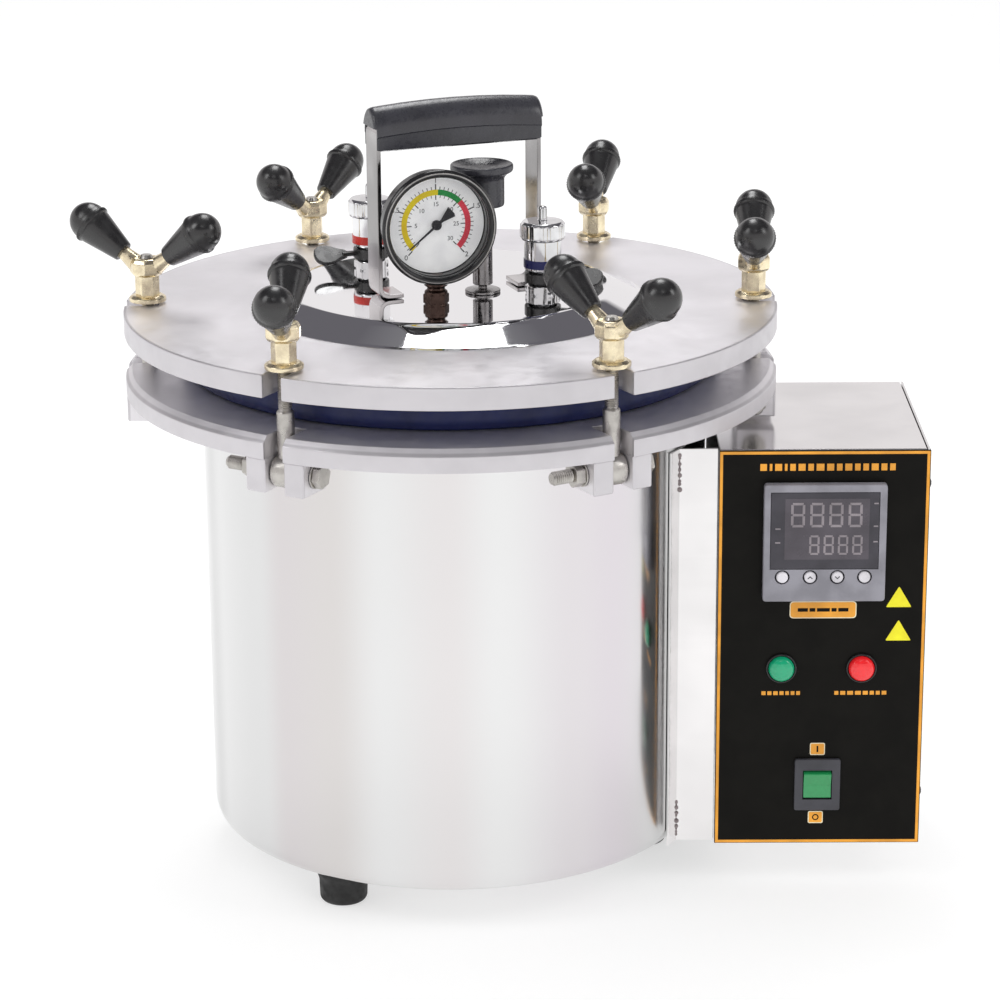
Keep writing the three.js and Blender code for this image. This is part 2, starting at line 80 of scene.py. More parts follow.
STEAM_VALVE = {"x": 55, "y": -23, "lever": -12}
SAFETY_VALVE = {"x": -49.2, "y": 42.5, "lever": 200}
CONTROLLER_X, CONTROLLER_Z, CONTROLLER_SIZE, CONTROLLER_PROUD = 62.2, 192.8, 72, 6
KEY_X, KEY_Z, KEY_R = [37.5, 53.9, 69.9, 85.9], 172.1, 3.4
LAMP_AT = {"process_lamp": (38.5, 113), "low_water_lamp": (86.2, 113)}
SWITCH_X, SWITCH_Z, SWITCH_W, SWITCH_H, SWITCH_TILT = 61.4, 38.7, 27.5, 33, 8
GLAND_X, GLAND_Z = 246, 58
CLAMP_ANGLES = [CLAMP_PHASE + 60 * i for i in range(CLAMPS)]


# ---------------- mesh helpers
def turn(axis, degrees):
    return Matrix.Rotation(math.radians(degrees), 4, axis)


def move(x, y, z):
    return Matrix.Translation((x, y, z))


def polar(radius, degrees):
    a = math.radians(degrees)
    return radius * math.cos(a), radius * math.sin(a)


def arc(radius, start, end, steps):
    """Points on a circle from one angle to another."""
    return [polar(radius, start + (end - start) * k / steps) for k in range(steps + 1)]


def fillet(points, radius, steps=3, closed=False):
    """The same outline with each sharp corner replaced by a small curve."""
    rounded = []
    count = len(points)
    for i, point in enumerate(points):
        here = Vector(point)
        if not closed and i in (0, count - 1):
            rounded.append(tuple(here))
            continue
        before = Vector(points[i - 1]) - here
        after = Vector(points[(i + 1) % count]) - here
        if before.length < 1e-6 or after.length < 1e-6 or before.angle(after) > math.radians(172):
            rounded.append(tuple(here))
            continue
        cut = min(radius, before.length * 0.45, after.length * 0.45)
        start = here + before.normalized() * cut
        end = here + after.normalized() * cut
        for k in range(steps + 1):
            t = k / steps
            rounded.append(tuple(start * (1 - t) ** 2 + here * 2 * t * (1 - t) + end * t * t))
    return rounded


def turned(profile, segments=64, phase=0.0, closed=False, ripple=None):
    """A solid of [radius, height] points revolved about Z. ripple is (lowest z, highest z, depth, count)."""
    bm = bmesh.new()
    rows = []
    for r, z in profile:
        if r < 1e-6:
            rows.append([bm.verts.new((0, 0, z))])
            continue
        row = []
        for i in range(segments):
            a = math.radians(phase) + 2 * math.pi * i / segments
            radius = r
            if ripple and ripple[0] <= z <= ripple[1]:
                radius += ripple[2] * math.cos(ripple[3] * a)
            row.append(bm.verts.new((radius * math.cos(a), radius * math.sin(a), z)))
        rows.append(row)
    pairs = list(zip(rows, rows[1:])) + ([(rows[-1], rows[0])] if closed else [])
    for low, high in pairs:
        for i in range(segments):
            j = (i + 1) % segments
            if len(low) == 1 and len(high) == 1:
                break
            if len(low) == 1:
                bm.faces.new((low[0], high[i], high[j]))
            elif len(high) == 1:
                bm.faces.new((low[i], low[j], high[0]))
            else:
                bm.faces.new((low[i], low[j], high[j], high[i]))
    return bm


def lathe(points, radius, steps=3, segments=64, closed=False, **more):
    """A turned solid whose profile has its corners rounded to a radius."""
    return turned(fillet(points, radius, steps, closed), segments, closed=closed, **more)


def extruded(outline, z0, z1):
    """An outline of (x, y) points drawn up from z0 to z1."""
    bm = bmesh.new()
    low = [bm.verts.new((x, y, z0)) for x, y in outline]
    high = [bm.verts.new((x, y, z1)) for x, y in outline]
    bm.faces.new(low[::-1])
    bm.faces.new(high)
    for i in range(len(low)):
        j = (i + 1) % len(low)
        bm.faces.new((low[i], low[j], high[j], high[i]))
    return bm


def block(x0, x1, y0, y1, z0, z1):
    return extruded([(x0, y0), (x1, y0), (x1, y1), (x0, y1)], z0, z1)


def rounded_plate(width, height, corner, thickness, steps=5):
    """A plate in the XZ plane, centred, its front at y = -thickness and its back at y = 0."""
    w = width / 2
    h = height / 2
    outline = fillet([(-w, -h), (w, -h), (w, h), (-w, h)], corner, steps, closed=True)
    return moved(extruded(outline, 0, thickness), turn("X", 90))


def moved(bm, matrix):
    bm.transform(matrix)
    return bm


def joined(*parts):
    """All the parts as one mesh."""
    whole = bmesh.new()
    for part in parts:
        mesh = bpy.data.meshes.new("part")
        part.to_mesh(mesh)
        part.free()
        whole.from_mesh(mesh)
        bpy.data.meshes.remove(mesh)
    return whole


def bevelled(bm, width, segments=2, angle=35):
    """bm with every edge sharper than an angle in degrees bevelled."""
    bmesh.ops.recalc_face_normals(bm, faces=bm.faces)
    limit = math.radians(angle)
    edges = [e for e in bm.edges if len(e.link_faces) == 2 and e.calc_face_angle(0) > limit]
    bmesh.ops.bevel(bm, geom=edges, offset=width, segments=segments, profile=0.5,
                    affect="EDGES", clamp_overlap=True)
    return bm


def add_object(name, data):
    """A new object in the scene."""
    obj = bpy.data.objects.new(name, data)
    bpy.context.scene.collection.objects.link(obj)
    return obj


def finished_mesh(obj):
    """An object's mesh with its modifiers applied."""
    bpy.context.view_layer.update()
    evaluated = obj.evaluated_get(bpy.context.evaluated_depsgraph_get())
    bm = bmesh.new()
    bm.from_mesh(evaluated.to_mesh())
    evaluated.to_mesh_clear()
    return bm


def scratch(bm):
    """A throwaway object for carved()."""
    bmesh.ops.recalc_face_normals(bm, faces=bm.faces)
    mesh = bpy.data.meshes.new("scratch")
    bm.to_mesh(mesh)
    bm.free()
    return add_object("scratch", mesh)


def carved(bm, *tools):
    """bm with the tools' volumes cut away."""
    target = scratch(bm)
    cutters = [scratch(tool) for tool in tools]
    for cutter in cutters:
        step = target.modifiers.new("cut", "BOOLEAN")
        step.operation = "DIFFERENCE"
        step.object = cutter
        step.solver = "EXACT"
    result = finished_mesh(target)
    for obj in [target, *cutters]:
        mesh = obj.data
        bpy.data.objects.remove(obj)
        bpy.data.meshes.remove(mesh)
    bmesh.ops.remove_doubles(result, verts=result.verts, dist=0.01)
    bmesh.ops.dissolve_degenerate(result, edges=result.edges, dist=0.01)
    return result


def piece(name, bm, body, material, replaces=(), crease=40):
    """Puts a finished shape in the row frame, with its material and body, and hides the CAD nodes it
    replaces.
    """
    bm.transform(ROW)
    bmesh.ops.remove_doubles(bm, verts=bm.verts, dist=1e-6)
    bmesh.ops.recalc_face_normals(bm, faces=bm.faces)
    mesh = bpy.data.meshes.new(name)
    bm.to_mesh(mesh)
    bm.free()
    mesh.materials.append(material)
    mesh.shade_smooth()
    mesh.set_sharp_from_angle(angle=math.radians(crease))
    obj = add_object(name, mesh)
    normals = obj.modifiers.new("flat faces stay flat", "WEIGHTED_NORMAL")
    normals.keep_sharp = True
    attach(obj, body)
    if replaces:
        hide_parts(*replaces)
    return obj


def finish_node(name, material, bevel=0.4):
    """A CAD node that stays: bevelled edges and a real material."""
    obj = NODES[name]
    obj.data.materials.clear()
    obj.data.materials.append(material)
    edge = obj.modifiers.new("edge", "BEVEL")
    edge.width = bevel / 1000
    edge.segments = 2
    edge.limit_method = "ANGLE"
    edge.angle_limit = math.radians(40)


# ---------------- material helpers
def rgb(tint):
    """A colour, or the grey that one number stands for."""
    return tint if hasattr(tint, "__len__") else (tint, tint, tint)


def fill_ramp(ramp, stops):
    """Gives a Color Ramp node its (position, colour) stops."""
    elements = ramp.color_ramp.elements
    while len(elements) < len(stops):
        elements.new(1.0)
    for element, (position, color) in zip(elements, stops):
        element.position = position
        element.color = (*rgb(color), 1)


class Surface:
    """A Principled material, and short ways to add procedural detail to it."""

    def __init__(self, name, color, roughness, metallic=0.0, **constants):
        self.material = bpy.data.materials.new(name)
        self.material.use_nodes = True
        self.tree = self.material.node_tree
        self.bsdf = self.tree.nodes["Principled BSDF"]
        self.bsdf.inputs["Base Color"].default_value = (*color, 1)
        self.bsdf.inputs["Roughness"].default_value = roughness
        self.bsdf.inputs["Metallic"].default_value = metallic
        for socket, value in constants.items():
            self.bsdf.inputs[socket.replace("_", " ")].default_value = value
        self.color = color

    def node(self, kind, **settings):
        made = self.tree.nodes.new(kind)
        for key, value in settings.items():
            setattr(made, key, value)
        return made

    def link(self, source, target):
        self.tree.links.new(source, target)

    def place(self, scale=(1, 1, 1), offset=(0, 0, 0)):
        """Object coordinates, in metres in the row frame, moved and then scaled."""
        coords = self.node("ShaderNodeTexCoord")
        shift = self.node("ShaderNodeVectorMath", operation="ADD")
        shift.inputs[1].default_value = offset
        grow = self.node("ShaderNodeVectorMath", operation="MULTIPLY")
        grow.inputs[1].default_value = scale
        self.link(coords.outputs["Object"], shift.inputs[0])
        self.link(shift.outputs[0], grow.inputs[0])
        return grow.outputs[0]

    def noise(self, scale, detail=3.0, stretch=(1, 1, 1)):
        """Noise with its features long where stretch is small."""
        texture = self.node("ShaderNodeTexNoise")
        texture.inputs["Scale"].default_value = scale
        texture.inputs["Detail"].default_value = detail
        self.link(self.place(stretch), texture.inputs["Vector"])
        return texture.outputs["Fac"]

    def ramp(self, value, stops):
        """A value turned into colours by smooth (position, colour) stops."""
        ramp = self.node("ShaderNodeValToRGB")
        ramp.color_ramp.interpolation = "EASE"
        fill_ramp(ramp, stops)
        self.link(value, ramp.inputs["Fac"])
        return ramp.outputs["Color"]

    def vary_color(self, value, low, high, spread=(0.3, 0.7)):
        """Base colour between two shares of itself."""
        dark = tuple(c * low for c in self.color)
        light = tuple(min(1, c * high) for c in self.color)
        self.link(self.ramp(value, [(spread[0], dark), (spread[1], light)]), self.bsdf.inputs["Base Color"])
        return self

    def vary_roughness(self, value, low, high):
        self.link(self.ramp(value, [(0.3, low), (0.7, high)]), self.bsdf.inputs["Roughness"])
        return self

    def bump(self, value, strength, depth):
        """Depth is the height of the bumps in millimetres."""
        bump = self.node("ShaderNodeBump")
        bump.inputs["Strength"].default_value = strength
        bump.inputs["Distance"].default_value = depth / 1000
        self.link(value, bump.inputs["Height"])
        if self.bsdf.inputs["Normal"].is_linked:
            self.link(self.bsdf.inputs["Normal"].links[0].from_socket, bump.inputs["Normal"])
        self.link(bump.outputs["Normal"], self.bsdf.inputs["Normal"])
        return self


def drum_steel():
    """Bright rolled sheet: painted reflections as soft vertical light and dark stripes round the drum, and
    fine grinding lines along its girth.
    """
    s = Surface("drum_steel_painted_reflections", (0.86, 0.84, 0.84), 0.2, 1.0, Anisotropic=0.4)
    around = s.node("ShaderNodeTexGradient", gradient_type="RADIAL")
    s.link(s.place(offset=(-VESSEL_X / 1000, 0, 0)), around.inputs["Vector"])
    # Painted reflections: base colour lighter and darker by angle round the axis, standing in for the
    # studio's lighter and darker sides and the box mirrored in the drum.
    painted_reflection_bands = [(0.0, 0.50), (0.044, 0.56), (0.072, 0.75), (0.117, 0.73), (0.139, (0.69, 0.66, 0.665)),
             (0.175, (0.70, 0.675, 0.665)), (0.21, 0.80), (0.25, (0.79, 0.765, 0.765)), (0.28, 0.83),
             (0.33, (0.75, 0.72, 0.74)), (0.358, (0.73, 0.69, 0.725)), (0.40, 0.72),
             (0.43, (0.50, 0.52, 0.51)), (0.60, 0.75), (0.72, 0.64), (0.86, 0.76), (1.0, 0.50)]
    brightness = 0.94
    stops = [(share, Vector(rgb(tint)) * brightness) for share, tint in painted_reflection_bands]
    s.link(s.ramp(around.outputs["Fac"], stops), s.bsdf.inputs["Base Color"])
    tangent = s.node("ShaderNodeTangent", direction_type="RADIAL", axis="Z")
    s.link(tangent.outputs[0], s.bsdf.inputs["Tangent"])
    s.bsdf.inputs["Anisotropic Rotation"].default_value = 0.25
    s.vary_roughness(s.noise(9, 4), 0.10, 0.18)
    s.bump(s.noise(60, 2, (0.25, 0.25, 22)), 0.12, 0.05)
    s.bump(s.noise(7, 1), 0.10, 1.2)
    return s.material


def sheet_steel(name, stretch, tint=(0.86, 0.845, 0.845)):
    """Polished box sheet with faint grinding lines, long along the small components of stretch."""
    s = Surface(name, tint, 0.14, 1.0)
    s.vary_color(s.noise(14, 3), 0.90, 1.03)
    s.vary_roughness(s.noise(20, 4, stretch), 0.09, 0.2)
    s.bump(s.noise(40, 2, stretch), 0.10, 0.04)
    s.bump(s.noise(5, 1), 0.12, 1.5)
    return s.material


def plate_aluminium():
    """Turned plate: fine rings from the lathe, a dull satin skin, and painted shade darkening its outer rim
    band and rim side.
    """
    s = Surface("satin_plate_aluminium", (0.84, 0.82, 0.845), 0.42, 0.85)
    rings = s.node("ShaderNodeTexWave", wave_type="RINGS", rings_direction="Z")
    rings.inputs["Scale"].default_value = 190
    rings.inputs["Distortion"].default_value = 0.6
    s.link(s.place(offset=(-VESSEL_X / 1000, 0, 0)), rings.inputs["Vector"])
    s.vary_color(s.noise(18, 5), 0.94, 1.04)
    # Painted shade: base colour darker over the outermost rim band and the rim side, which get less light
    # than the top.
    radius = s.node("ShaderNodeVectorMath", operation="LENGTH")
    s.link(s.place((5, 5, 0), (-VESSEL_X / 1000, 0, 0)), radius.inputs[0])
    painted_rim_shade = s.ramp(radius.outputs["Value"], [(0.965, 1.0), (0.969, (0.76, 0.755, 0.76))])
    rim_shade_darkened = s.node("ShaderNodeVectorMath", operation="MULTIPLY")
    s.link(s.bsdf.inputs["Base Color"].links[0].from_socket, rim_shade_darkened.inputs[0])
    s.link(painted_rim_shade, rim_shade_darkened.inputs[1])
    s.link(rim_shade_darkened.outputs[0], s.bsdf.inputs["Base Color"])
    s.vary_roughness(s.noise(120, 3), 0.36, 0.46)
    s.bump(rings.outputs["Fac"], 0.10, 0.03)
    s.bump(s.noise(1400, 2), 0.12, 0.02)
    return s.material


def mirror_steel():
    """Mirror polish with a very slight waviness."""
    s = Surface("mirror_dome_steel", (0.93, 0.93, 0.94), 0.035, 1.0)
    s.vary_roughness(s.noise(30, 5), 0.025, 0.06)
    s.bump(s.noise(16, 2), 0.10, 0.25)
    return s.material


def strip_steel():
    """Bright bent strip with uneven dark and light patches along its length."""
    s = Surface("bright_strip_steel", (0.56, 0.54, 0.54), 0.12, 1.0)
    s.vary_roughness(s.noise(40, 3, (1, 1, 0.1)), 0.10, 0.22)
    s.vary_color(s.noise(17, 2, (1, 1, 0.7)), 0.50, 1.25, (0.36, 0.64))
    s.bump(s.noise(14, 1), 0.2, 0.6)
    return s.material


def brass():
    """Cast brass, polished but with the casting's fine dimples."""
    s = Surface("pale_cast_brass", (0.92, 0.79, 0.56), 0.2, 1.0)
    s.vary_color(s.noise(160, 5), 0.78, 1.12)
    s.vary_roughness(s.noise(240, 4), 0.16, 0.38)
    s.bump(s.noise(420, 3), 0.25, 0.12)
    return s.material


def plain_metal(name, color, rough_low, rough_high, grain=300, depth=0.05):
    """A metal with fine uneven polish; depth is the height of its grain in millimetres."""
    s = Surface(name, color, rough_high, 1.0)
    s.vary_color(s.noise(grain * 0.4, 4), 0.82, 1.1)
    s.vary_roughness(s.noise(grain, 4), rough_low, rough_high)
    s.bump(s.noise(grain * 2, 2), 0.2, depth)
    return s.material


def moulded(name, color, rough_low, rough_high, grain=900, depth=0.03, **constants):
    """A moulded plastic, rubber or paint with a fine grain."""
    s = Surface(name, color, rough_high, 0.0, **constants)
    s.vary_color(s.noise(60, 4), 0.85, 1.2)
    s.vary_roughness(s.noise(grain * 0.3, 4), rough_low, rough_high)
    s.bump(s.noise(grain, 3), 0.25, depth)
    return s.material


def ink(name, color, grain=1500, **constants):
    """A flat printed colour."""
    return moulded(name, color, 0.4, 0.5, grain, 0.01, **constants)


def glowing(name, color, glow):
    """A coloured plastic that glows a little: a lens lit from behind on the lamps, a painted glow on the
    rocker.
    """
    s = Surface(name, color, 0.16, 0.0, Emission_Strength=glow, Coat_Weight=0.6, Coat_Roughness=0.06)
    s.bsdf.inputs["Emission Color"].default_value = (*color, 1)
    s.vary_color(s.noise(500, 3), 0.95, 1.04)
    s.bump(s.noise(700, 1), 0.12, 0.05)
    return s.material


def clear_glass():
    """Thin clear pane with faint smears."""
    s = Surface("clear_gauge_glass", (0.06, 0.06, 0.06), 0.02, 0.0, Alpha=0.05, IOR=1.25)
    s.vary_roughness(s.noise(60, 3), 0.01, 0.05)
    return s.material


DRUM_STEEL = drum_steel()
BOX_STEEL = sheet_steel("polished_box_steel", (0.3, 0.3, 12))
COVER_STEEL = sheet_steel("polished_cover_steel", (12, 12, 0.3), (0.82, 0.81, 0.81))
PLATE = plate_aluminium()
MIRROR = mirror_steel()
STRIP = strip_steel()
BRASS = brass()
CHROME = plain_metal("chromed_metal", (0.80, 0.80, 0.81), 0.05, 0.12, 120, 0.02)
ZINC = plain_metal("zinc_plated_steel", (0.52, 0.50, 0.47), 0.26, 0.42)
SCREW = plain_metal("dull_screw_steel", (0.42, 0.41, 0.40), 0.25, 0.4)
WELD = plain_metal("weld_bead_steel", (0.30, 0.26, 0.26), 0.2, 0.45, 500, 0.1)
SHEATH = plain_metal("heat_tinted_steel", (0.36, 0.32, 0.29), 0.3, 0.5)
INNER_STEEL = plain_metal("satin_inner_steel", (0.66, 0.66, 0.67), 0.28, 0.4)
STEM = plain_metal("dark_stem_brass", (0.085, 0.055, 0.046), 0.2, 0.4)
DARK_SCREW = plain_metal("darkened_screw_steel", (0.10, 0.095, 0.095), 0.25, 0.4)
NOZZLE = plain_metal("grey_nozzle_steel", (0.30, 0.29, 0.29), 0.16, 0.3)
NAVY = moulded("navy_gasket_rubber", (0.004, 0.010, 0.075), 0.4, 0.58, 700, 0.05)
RUBBER = moulded("black_foot_rubber", (0.012, 0.012, 0.012), 0.5, 0.75, 700, 0.08)
GRIP = moulded("satin_grip_plastic", (0.030, 0.030, 0.038), 0.24, 0.36, 1500, 0.05, IOR=1.65)
BAKELITE = moulded("black_bakelite", (0.010, 0.0095, 0.010), 0.22, 0.34, 500, 0.03, IOR=1.7)
GLOSS_BLACK = moulded("gloss_black_enamel", (0.010, 0.010, 0.011), 0.12, 0.2, 300, 0.02)
PANEL = moulded("black_panel_film", (0.0060, 0.0055, 0.0045), 0.36, 0.44, 2200, 0.02, Specular_IOR_Level=0.09)
AMBER = ink("amber_print", (0.85, 0.36, 0.03))
YELLOW = ink("yellow_print", (0.95, 0.80, 0.01))
PALE_PRINT = ink("pale_print", (0.90, 0.78, 0.55))
GREY = moulded("grey_instrument_plastic", (0.27, 0.265, 0.30), 0.42, 0.52, 1500, 0.05)
DARK_GREY = moulded("dark_grey_plastic", (0.045, 0.045, 0.055), 0.4, 0.5, 1500, 0.04)
WINDOW = moulded("smoked_window", (0.050, 0.047, 0.058), 0.10, 0.16, 300, 0.01, Specular_IOR_Level=0.35)
LCD_FACE = moulded("display_face", (0.075, 0.065, 0.080), 0.2, 0.28, 600, 0.01)
SEGMENT = moulded("display_segment", (0.26, 0.23, 0.25), 0.3, 0.4, 600, 0.01)
KEY_FACE = moulded("light_key_rubber", (0.72, 0.70, 0.74), 0.4, 0.5, 1200, 0.03)
# Painted glow: the white dial is no lamp, and its emission only makes it brighter.
DIAL = moulded("white_dial_painted_glow", (0.93, 0.93, 0.95), 0.45, 0.55, 900, 0.01, Emission_Strength=0.18)
DIAL_INK = ink("black_dial_ink", (0.015, 0.015, 0.02), 900)
DIAL_YELLOW = ink("yellow_dial_ink", (1.0, 0.68, 0.004), 900)
DIAL_GREEN = ink("green_dial_ink", (0.002, 0.29, 0.05), 900)
DIAL_RED = ink("red_dial_ink", (0.80, 0.045, 0.08), 900)
BLUE_BAND = moulded("blue_band_paint", (0.006, 0.010, 0.10), 0.25, 0.35, 400, 0.02)
RED_BAND = moulded("red_band_paint", (0.62, 0.03, 0.02), 0.25, 0.35, 400, 0.02)
GREEN_LENS = glowing("green_lens", (0.005, 0.36, 0.17), 0.12)
RED_LENS = glowing("red_lens", (0.80, 0.015, 0.02), 0.18)
# Painted glow: the rocker is no lamp and the switch is off, and its emission only brightens the green.
ROCKER = glowing("green_rocker_painted_glow", (0.015, 0.27, 0.08), 0.10)
GLASS = clear_glass()


# ---------------- vessel
def thread(radius, z0, z1, pitch=1.25, depth=0.55):
    """Profile points of a threaded length."""
    points = []
    turns = int((z1 - z0) / pitch)
    for i in range(turns):
        z = z0 + i * (z1 - z0) / turns
        points += [(radius - depth, z), (radius, z + pitch * 0.5)]
    return points


def hex_piece(radius, z0, z1):
    """A hexagon head or nut with softened edges."""
    return bevelled(extruded([polar(radius, 60 * i) for i in range(6)], z0, z1), 0.6, 2, 45)


def slot_cutters(end_r, rim_r, z0, z1):
    """The volumes of the open slots that the six swing bolts pass through."""
    slot = (end_r, rim_r + 5, -SLOT_W / 2, SLOT_W / 2, z0 - 5, z1 + 5)
    return joined(*[moved(block(*slot), turn("Z", angle)) for angle in CLAMP_ANGLES])


def drum():
    b, w, corner = DRUM_BOTTOM, DRUM_WALL, 12
    top = FLANGE_TOP - 0.3
    outside = fillet([(0, b), (DRUM_R, b), (DRUM_R, top)], corner, 10)
    inside = fillet([(DRUM_R - w, top), (DRUM_R - w, b + w), (0, b + w)], corner - w, 8)
    piece("drum", turned(outside + inside, 192), "vessel", DRUM_STEEL, ["vessel_drum"])


def flange():
    """The slotted ring round the drum's mouth, with a pair of lugs under it at each clamp."""
    under = FLANGE_TOP - FLANGE_T
    inner_r = DRUM_R + 0.3
    ring = turned([(inner_r, under), (FLANGE_R, under), (FLANGE_R, FLANGE_TOP - FLANGE_CHAMFER),
                   (FLANGE_R - FLANGE_CHAMFER, FLANGE_TOP), (inner_r, FLANGE_TOP)],
                  180, CLAMP_PHASE + 1, closed=True)
    slots = slot_cutters(FLANGE_SLOT_END_R, FLANGE_R, under, FLANGE_TOP)
    lugs = []
    for angle in CLAMP_ANGLES:
        for side in (-1, 1):
            y0, y1 = sorted((side * SLOT_W / 2, side * (SLOT_W / 2 + LUG_W)))
            lug = block(FLANGE_SLOT_END_R, FLANGE_R - 1.0, y0, y1, LUG_BOTTOM, under + 0.4)
            lugs.append(moved(bevelled(lug, 1.1, 3), turn("Z", angle)))
    piece("flange", joined(bevelled(carved(ring, slots), 0.5), *lugs), "vessel", PLATE,
          ["body_flange"])


def gasket():
    low = FLANGE_TOP + 0.3
    high = LID_BOTTOM - 0.3
    seal = lathe([(GASKET_INNER_R, low), (GASKET_R - 3, low), (GASKET_R, 316), (GASKET_R - 1.2, 321),
                  (GASKET_R, 326), (GASKET_R - 3, high), (GASKET_INNER_R, high)], 2.0, 4, 160, closed=True)
    piece("gasket", seal, "vessel", NAVY, ["lid_gasket"])


def feet():
    for i in range(3):
        x, y = polar(FOOT_CIRCLE_R, FOOT_PHASE + 120 * i)
        foot = lathe([(0, 0), (FOOT_BASE_R - 1.5, 0), (FOOT_BASE_R, 2), (FOOT_BASE_R + 0.4, 14),
                      (FOOT_TOP_R, 18), (FOOT_TOP_R, 24.7), (0, 24.7)], 1.4, 4)
        piece(f"rubber_foot_{i + 1}", moved(foot, move(x, y, 0)), "vessel", RUBBER,
              [f"foot_{i + 1}"])


def lid():
    ring = turned([(LID_HOLE_R, LID_BOTTOM), (LID_R, LID_BOTTOM), (LID_R, LID_TOP), (LID_HOLE_R, LID_TOP)],
                  180, CLAMP_PHASE + 1, closed=True)
    slots = slot_cutters(LID_SLOT_END_R, LID_R, LID_BOTTOM, LID_TOP)
    piece("lid_ring_plate", bevelled(carved(ring, slots), 0.9, 3), "vessel", PLATE,
          ["lid_plate"])


def dome():
    """A nearly flat crown, a quick break and a steep skirt down to a thin edge."""
    crown_slope, skirt_slope = 0.004, 0.455
    break_r, break_width, fine_from = 92, 9, 88
    outside = [(0, DOME_TOP)]
    r, z = 0, DOME_TOP
    while r < DOME_R - 2:
        r += 1 if r >= fine_from else 4
        bend = min(max((r - break_r) / break_width, 0), 1)
        step = 1 if r > fine_from else 4
        z -= step * (crown_slope + skirt_slope * bend * bend * (3 - 2 * bend))
        outside.append((r, z))
    outside += [(DOME_R - 0.5, z - 0.3), (DOME_R, z - 0.6)]
    inside = [(r, max(z - DOME_T, DOME_BASE)) for r, z in reversed(outside) if r < DOME_R - 8]
    piece("dome", turned(outside + [(DOME_R, DOME_BASE)] + inside, 192), "vessel", MIRROR,
          ["lid_dome"])


# ---------------- clamps
def clamps():
    """Six swing bolts, each on its cross bolt and under its wing nut."""
    for i, angle in enumerate(CLAMP_ANGLES):
        at = turn("Z", angle) @ move(BOLT_CIRCLE_R, 0, 0)
        pivot = at @ move(0, 0, PIN_Z) @ turn("X", -90)
        eye_bolt(i + 1, at, pivot)
        cross_bolt(i + 1, pivot)
        wing_nut(i + 1, at @ move(0, 0, NUT_BASE) @ turn("Z", NUT_ARM_ANGLE[i] - angle))


def eye_bolt(n, at, pivot):
    half = EYE_W / 2
    eye = lathe([(0, -half), (EYE_R, -half), (EYE_R, half), (0, half)], 1.4, 3, 48)
    shank = fillet([(0, PIN_Z), (SHANK_R, PIN_Z), (SHANK_R, SHANK_TOP - 1.5), (THREAD_R - 0.5, SHANK_TOP)],
                   0.5)
    tip = [(THREAD_R - 0.9, BOLT_TOP - 0.2), (0, BOLT_TOP)]
    rod = turned(shank + thread(THREAD_R, SHANK_TOP + 0.3, BOLT_TOP - 1.4) + tip, 32)
    piece(f"eye_bolt_{n}", joined(moved(eye, pivot), moved(rod, at)), f"bolt_{n}", ZINC,
          [f"swing_bolt_{n}"])


def cross_bolt(n, pivot):
    """A bolt through both lugs, its head on one side and its nut and threaded tail on the other."""
    face = SLOT_W / 2 + LUG_W + 0.3
    tail = [(0, -face - 20), (PIN_R - 0.9, -face - 19.8)]
    plain = [(PIN_R, -face + 2), (PIN_R, face), (0, face + 1)]
    pin = turned(tail + thread(PIN_R, -face - 19, -face + 1) + plain, 28)
    washers = [lathe([(0, z), (7.4, z), (7.4, z + 0.9), (0, z + 0.9)], 0.3, segments=40)
               for z in (face, -face - 0.9)]
    head = moved(hex_piece(7.2, face + 0.9, face + 5.5), turn("Z", 12))
    nut = moved(hex_piece(7.2, -face - 7, -face - 0.9), turn("Z", 25))
    piece(f"cross_bolt_{n}", moved(joined(pin, *washers, head, nut), pivot), "vessel", ZINC,
          [f"pivot_bolt_{n}"])


def wing_nut(n, at):
    """A brass nut with a flanged foot, a six-sided neck and two raised arms, each with a moulded knob."""
    bore = THREAD_R + 0.3
    foot = lathe([(bore, 0), (11, 0), (11, 2.4), (8.8, 3.8), (bore, 3.8)], 0.5, 2, 48, closed=True)
    neck = carved(extruded([polar(7.3, 60 * k + 30) for k in range(6)], 3, 16.5),
                  turned([(0, 0), (bore, 0), (bore, 20), (0, 20)], 32))
    boss = lathe([(bore, 15.6), (8.2, 15.6), (10.2, 17.8), (10.2, 23.6), (8.4, 26.4), (bore, 26.4)],
                 0.9, 3, 8, closed=True, phase=22.5)
    rise = math.degrees(math.atan2(25, 34.5))
    sides = {"a": 0, "b": 180}
    arms = [moved(lathe([(0, 3.5), (5.6, 3.5), (4.4, 12), (3.9, 21), (0, 21)], 1.2, 2, 10),
                  turn("Z", side) @ move(4, 0, 20) @ turn("Y", 90 - rise)) for side in sides.values()]
    brass_nut = joined(foot, bevelled(neck, 0.6), bevelled(boss, 0.5), *arms)
    piece(f"brass_nut_{n}", moved(brass_nut, at), f"nut_{n}", BRASS, [f"wing_nut_{n}"])
    for label, side in sides.items():
        place = at @ turn("Z", side) @ move(4, 0, 20) @ turn("Y", 90 - rise)
        piece(f"knob_{n}{label}", moved(wing_knob(), place), f"nut_{n}", BAKELITE, crease=50)


def wing_knob():
    """A tapered neck, a knurled rim and a round cap."""
    cone = fillet([(0, 14), (6.3, 14), (11.2, 37.2), (11.2, 38.2)], 0.8, 3)
    rim = [(12.0, 38.8), (12.15, 39.4), (12.15, 40.9), (12.0, 41.5), (11.45, 42.0)]
    cap = [(11.45 * math.cos(math.radians(t)), 42.2 + 12.1 * math.sin(math.radians(t)))
           for t in range(8, 90, 9)]
    return turned(cone + rim + cap + [(0, 54.3)], 96, ripple=(39.2, 41.1, 0.28, 48))


# ---------------- handle
HANDLE_PLACE = move(HANDLE["x"], HANDLE["y"], 0) @ turn("Z", HANDLE["yaw"])


